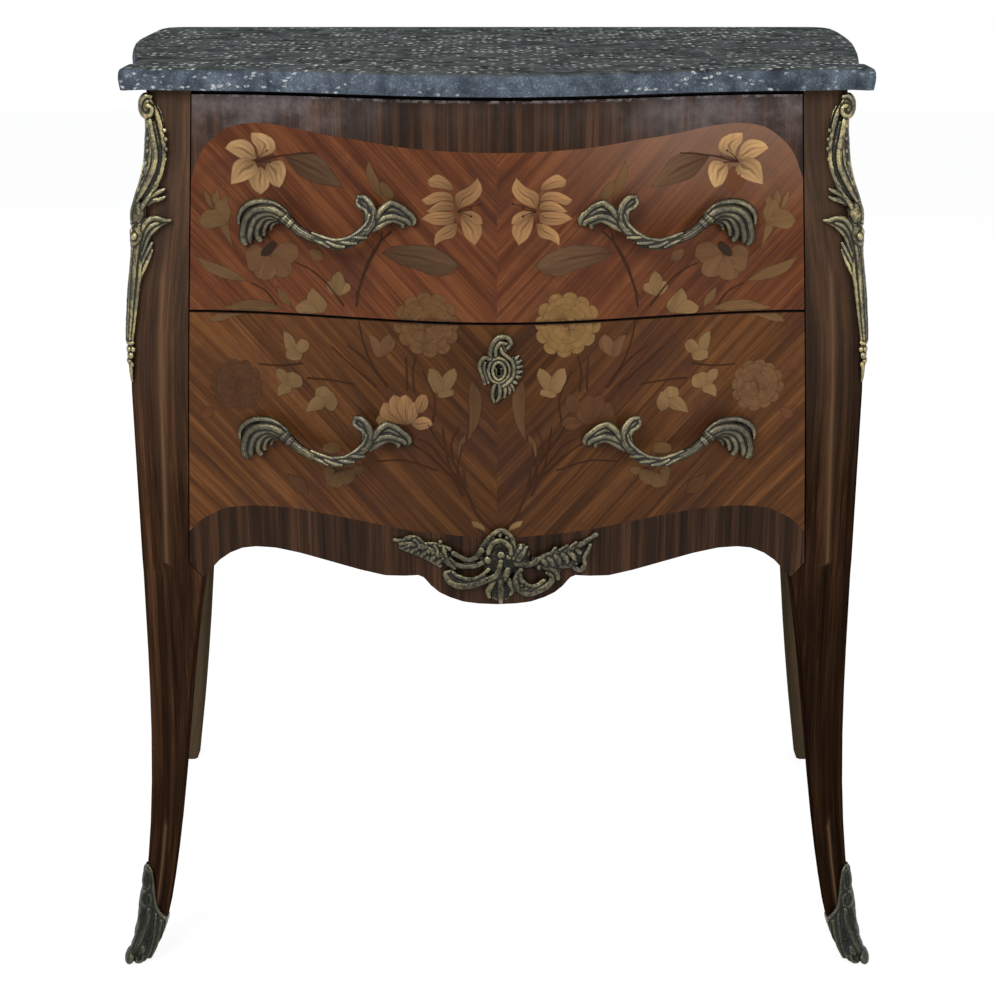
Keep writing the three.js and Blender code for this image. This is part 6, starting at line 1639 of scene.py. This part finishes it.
CORNER_PADS = (
    ((16.8, 751, 3.2), (1.9, 2.1, 1.8)), ((17.8, 744, 3.2), (1.9, 2.1, 1.8)),
    ((18.4, 736, 3), (1.9, 2.1, 1.8)), ((18.2, 728, 3), (1.7, 2, 1.6)), ((2.4, 754, 1.8), (1.5, 2, 1.6)),
    ((2.8, 744, 1.8), (1.5, 2, 1.6)), ((3, 734, 2), (1.5, 2, 1.6)), ((2.2, 724, 2.6), (1.5, 2, 1.6)),
    ((0, 714, 3.6), (1.6, 2, 1.7)), ((1.5, 769, 3), (6, 8, 4.4)), ((8, 738, 0), (9.5, 34, 3)),
    ((4, 703, 0.6), (11, 14, 3.6)), ((-1, 684, 4.4), (7, 10, 5)), ((0, 667, 4), (7, 11, 5)),
    ((-1.2, 666, 8), (2.8, 3.4, 2.6)), ((-4.4, 669, 7.4), (2, 3, 2)), ((7, 668, 0.2), (7, 10, 2.6)),
    ((1.6, 618, 0.6), (6, 46, 3)), ((4, 646, 0.6), (7.5, 13, 3.2)), ((0.8, 571, 2.4), (2.9, 3, 2.6)),
    ((4, 571, 2.2), (2.7, 2.9, 2.4)), ((2.2, 566, 2.6), (3.2, 3.4, 2.8)),
    ((0.6, 561, 2), (2.6, 2.8, 2.4)), ((3, 558, 1.8), (2.2, 2.8, 2)), ((-5, 736, -1.4), (8, 30, 2.2)),
)
SHOE_LIMBS = (
    # the tongue: two ovals, a bead, and the edge that falls to the inner side
    ((1, 86, 1.6, 1.3), (-1.6, 81, 2, 1.3), (-1.8, 73, 2, 1.3), (0.6, 68, 1.8, 1.3),
     (4.3, 69.7, 1.6, 1.3), (5.3, 76.5, 1.4, 1.3), (3.7, 84, 1.4, 1.3), (1, 86, 1.6, 1.3)),
    ((0, 63.7, 2, 1.3), (-1.4, 58.6, 2.2, 1.4), (0.4, 53.5, 2.2, 1.4), (4.7, 51.8, 2, 1.4),
     (8, 56, 1.8, 1.3), (6.8, 62, 1.8, 1.3), (2.4, 64.6, 1.8, 1.3)),
    ((2.4, 88.6, 1, 1), (4.6, 85, 1.2, 1.2), (7, 75.7, 1.2, 1.3), (9, 65.4, 1.2, 1.3),
     (10.8, 58, 1.2, 1.4), (13, 52, 1.2, 1.4), (16.4, 47.5, 1.2, 1.4), (20, 44.6, 1.2, 1.4),
     (22.6, 43, 1.2, 1.3)),
    ((-3, 84, 0.8, 1.1), (-6, 72, 0.8, 1.2), (-8, 60, 0.8, 1.3), (-11, 48, 0.8, 1.3),
     (-15, 38, 0.8, 1.3)),
    # the scrolls over the foot
    ((6.6, 50, 2.4, 1.8), (7.7, 41.7, 2.6, 2), (6, 31.6, 3, 2.2), (4.3, 23.2, 3.4, 2.4),
     (1.9, 14.8, 4, 2.6), (0, 9, 4.4, 2.8)),
    ((-0.8, 50, 2, 1.6), (-1, 37.5, 2, 1.8), (0, 28, 2, 2), (-0.6, 18, 2.6, 2.2), (-2, 10, 3.6, 2.6),
     (-2.4, 6, 4, 2.6)),
    ((14, 46, 1.6, 1.5), (15, 33, 1.6, 1.7), (15.8, 20, 1.6, 1.7), (14.6, 10, 2.2, 1.8),
     (11, 4.6, 2.8, 1.8)),
    ((19.4, 40, 1.2, 1.5), (19.8, 28, 1.2, 1.6), (18.6, 16, 1.4, 1.6), (16, 7, 1.8, 1.6)),
    ((6.2, 11, 4, 1.6), (9.4, 7.4, 4.4, 1.6), (8.6, 3.6, 4.6, 1.6), (5, 3.2, 5, 1.6), (3, 5.4, 5, 1.5)),
)
SHOE_PADS = (
    ((0.7, 66, 3), (2, 2, 1.8)), ((1.6, 77, 0.4), (5.4, 12, 2.8)), ((2.4, 60, 0.6), (8, 13, 3)),
    ((4, 44, 0.6), (11, 15, 3.2)), ((5, 28, 0.6), (13, 16, 3.6)), ((4, 12, 0.6), (13, 12, 4.4)),
    ((-2.4, 6, 7), (5.2, 5.8, 5.6)), ((6, 12, 4), (5, 6, 3)), ((14, 30, 0.4), (10, 16, 2.4)),
    ((-2, 74, 0), (7, 14, 2.2)), ((-3, 54, 0.6), (7, 14, 2.8)),
)


def round_edge(inwards, z, w):
    """Places round the right front leg's edge: inwards from its outline as seen from the front, up, and
    off it."""
    x, y = leg_edge(z)
    last = math.pi / 2 - FACE_TURN
    out = EDGE_ROUND + w
    shown = (EDGE_ROUND - inwards) / out
    turn = np.where(shown <= 1, np.arccos(np.clip(shown, math.cos(last), 1)), 0)
    beyond = np.maximum(0, (math.cos(last) - shown) * out / math.cos(FACE_TURN))
    behind = np.where(shown > 1, (shown - 1) * out, 0)
    return np.stack([
        x - EDGE_ROUND + out * np.cos(turn) - beyond * math.cos(FACE_TURN),
        y - out * np.sin(turn) - beyond * math.sin(FACE_TURN) + behind,
        z,
    ], axis=1)


def add_foot(work):
    """The shoe's body: the leg's own foot, cut off on a slant and made thicker all round."""
    foot = bmesh.new()
    foot.from_mesh(bpy.data.objects["right_front_leg_veneer"].data)
    bmesh.ops.bisect_plane(
        foot, geom=foot.verts[:] + foot.edges[:] + foot.faces[:], plane_co=FOOT_CUT_PLACE,
        plane_no=FOOT_CUT_NORMAL, clear_outer=True,
    )
    bmesh.ops.holes_fill(foot, edges=[edge for edge in foot.edges if edge.is_boundary])
    bmesh.ops.recalc_face_normals(foot, faces=foot.faces)
    foot.normal_update()
    moved = [vertex.co + vertex.normal * SHOE_COVER for vertex in foot.verts]
    for vertex, place in zip(foot.verts, moved):
        vertex.co = (place.x, place.y, max(place.z, FLOOR_GAP))
    held = bpy.data.meshes.new("foot")
    foot.to_mesh(held)
    foot.free()
    work.from_mesh(held)
    bpy.data.meshes.remove(held)


def lifted(u, v, w):
    return round_edge(u, v, w + EDGE_LIFT * MILLIMETRE)


def floor_kept(u, v, w):
    placed = lifted(u, v, w)
    placed[:, 2] = np.maximum(placed[:, 2], FLOOR_GAP)
    return placed


def mirrored_place(x, y, z):
    return np.stack([-x, y, z], axis=1)


EDGE_CASTINGS = (
    ("corner_mount", CORNER_LIMBS, CORNER_PADS, lifted, None, 0.00052, gilt_bronze),
    ("shoe", SHOE_LIMBS, SHOE_PADS, floor_kept, add_foot, 0.0005, sooty_bronze),
)
for kind, limbs, pads, place, more, voxel, metal in EDGE_CASTINGS:
    right = casting(f"right_{kind}_bronze", limbs, pads, voxel, place, more, 0.6, 0.0004)
    note_hollows(right)
    left = lay_copy(right, f"left_{kind}_bronze", mirrored_place, True)
    shade_whole(right)
    settle(right, "carcass", "brass", metal, f"right_{kind}")
    settle(left, "carcass", "brass", metal, f"left_{kind}")


# Nuts and lock: brass nuts on the handles' shanks, and a mortised lock of steel with its bolt. All are
# turned or filed from the bar, left plain, and dulled by age.
def plain_metal(name, colour, roughness):
    made, tree = new_material(name)
    cloud = noise(tree, here(tree), 120, 5, 0.65)
    finish_surface(tree, {
        "Base Color": multiplied(tree, colour, between(tree, cloud, 0.3, 0.7, 0.55, 1.1)),
        "Roughness": roughness, "Metallic": 1.0, "Normal": bump(tree, cloud, 0.0002),
    })
    return made


nuts = [f"{drawer}_{side}_{end}_nut" for drawer in ("upper", "lower") for side in SIDES
        for end in ("inner", "outer")]
give(nuts, plain_metal("old_brass", paint(150, 120, 70), 0.45))
give(["lock_case", "lock_bolt"], plain_metal("old_steel", paint(120, 116, 110), 0.5))
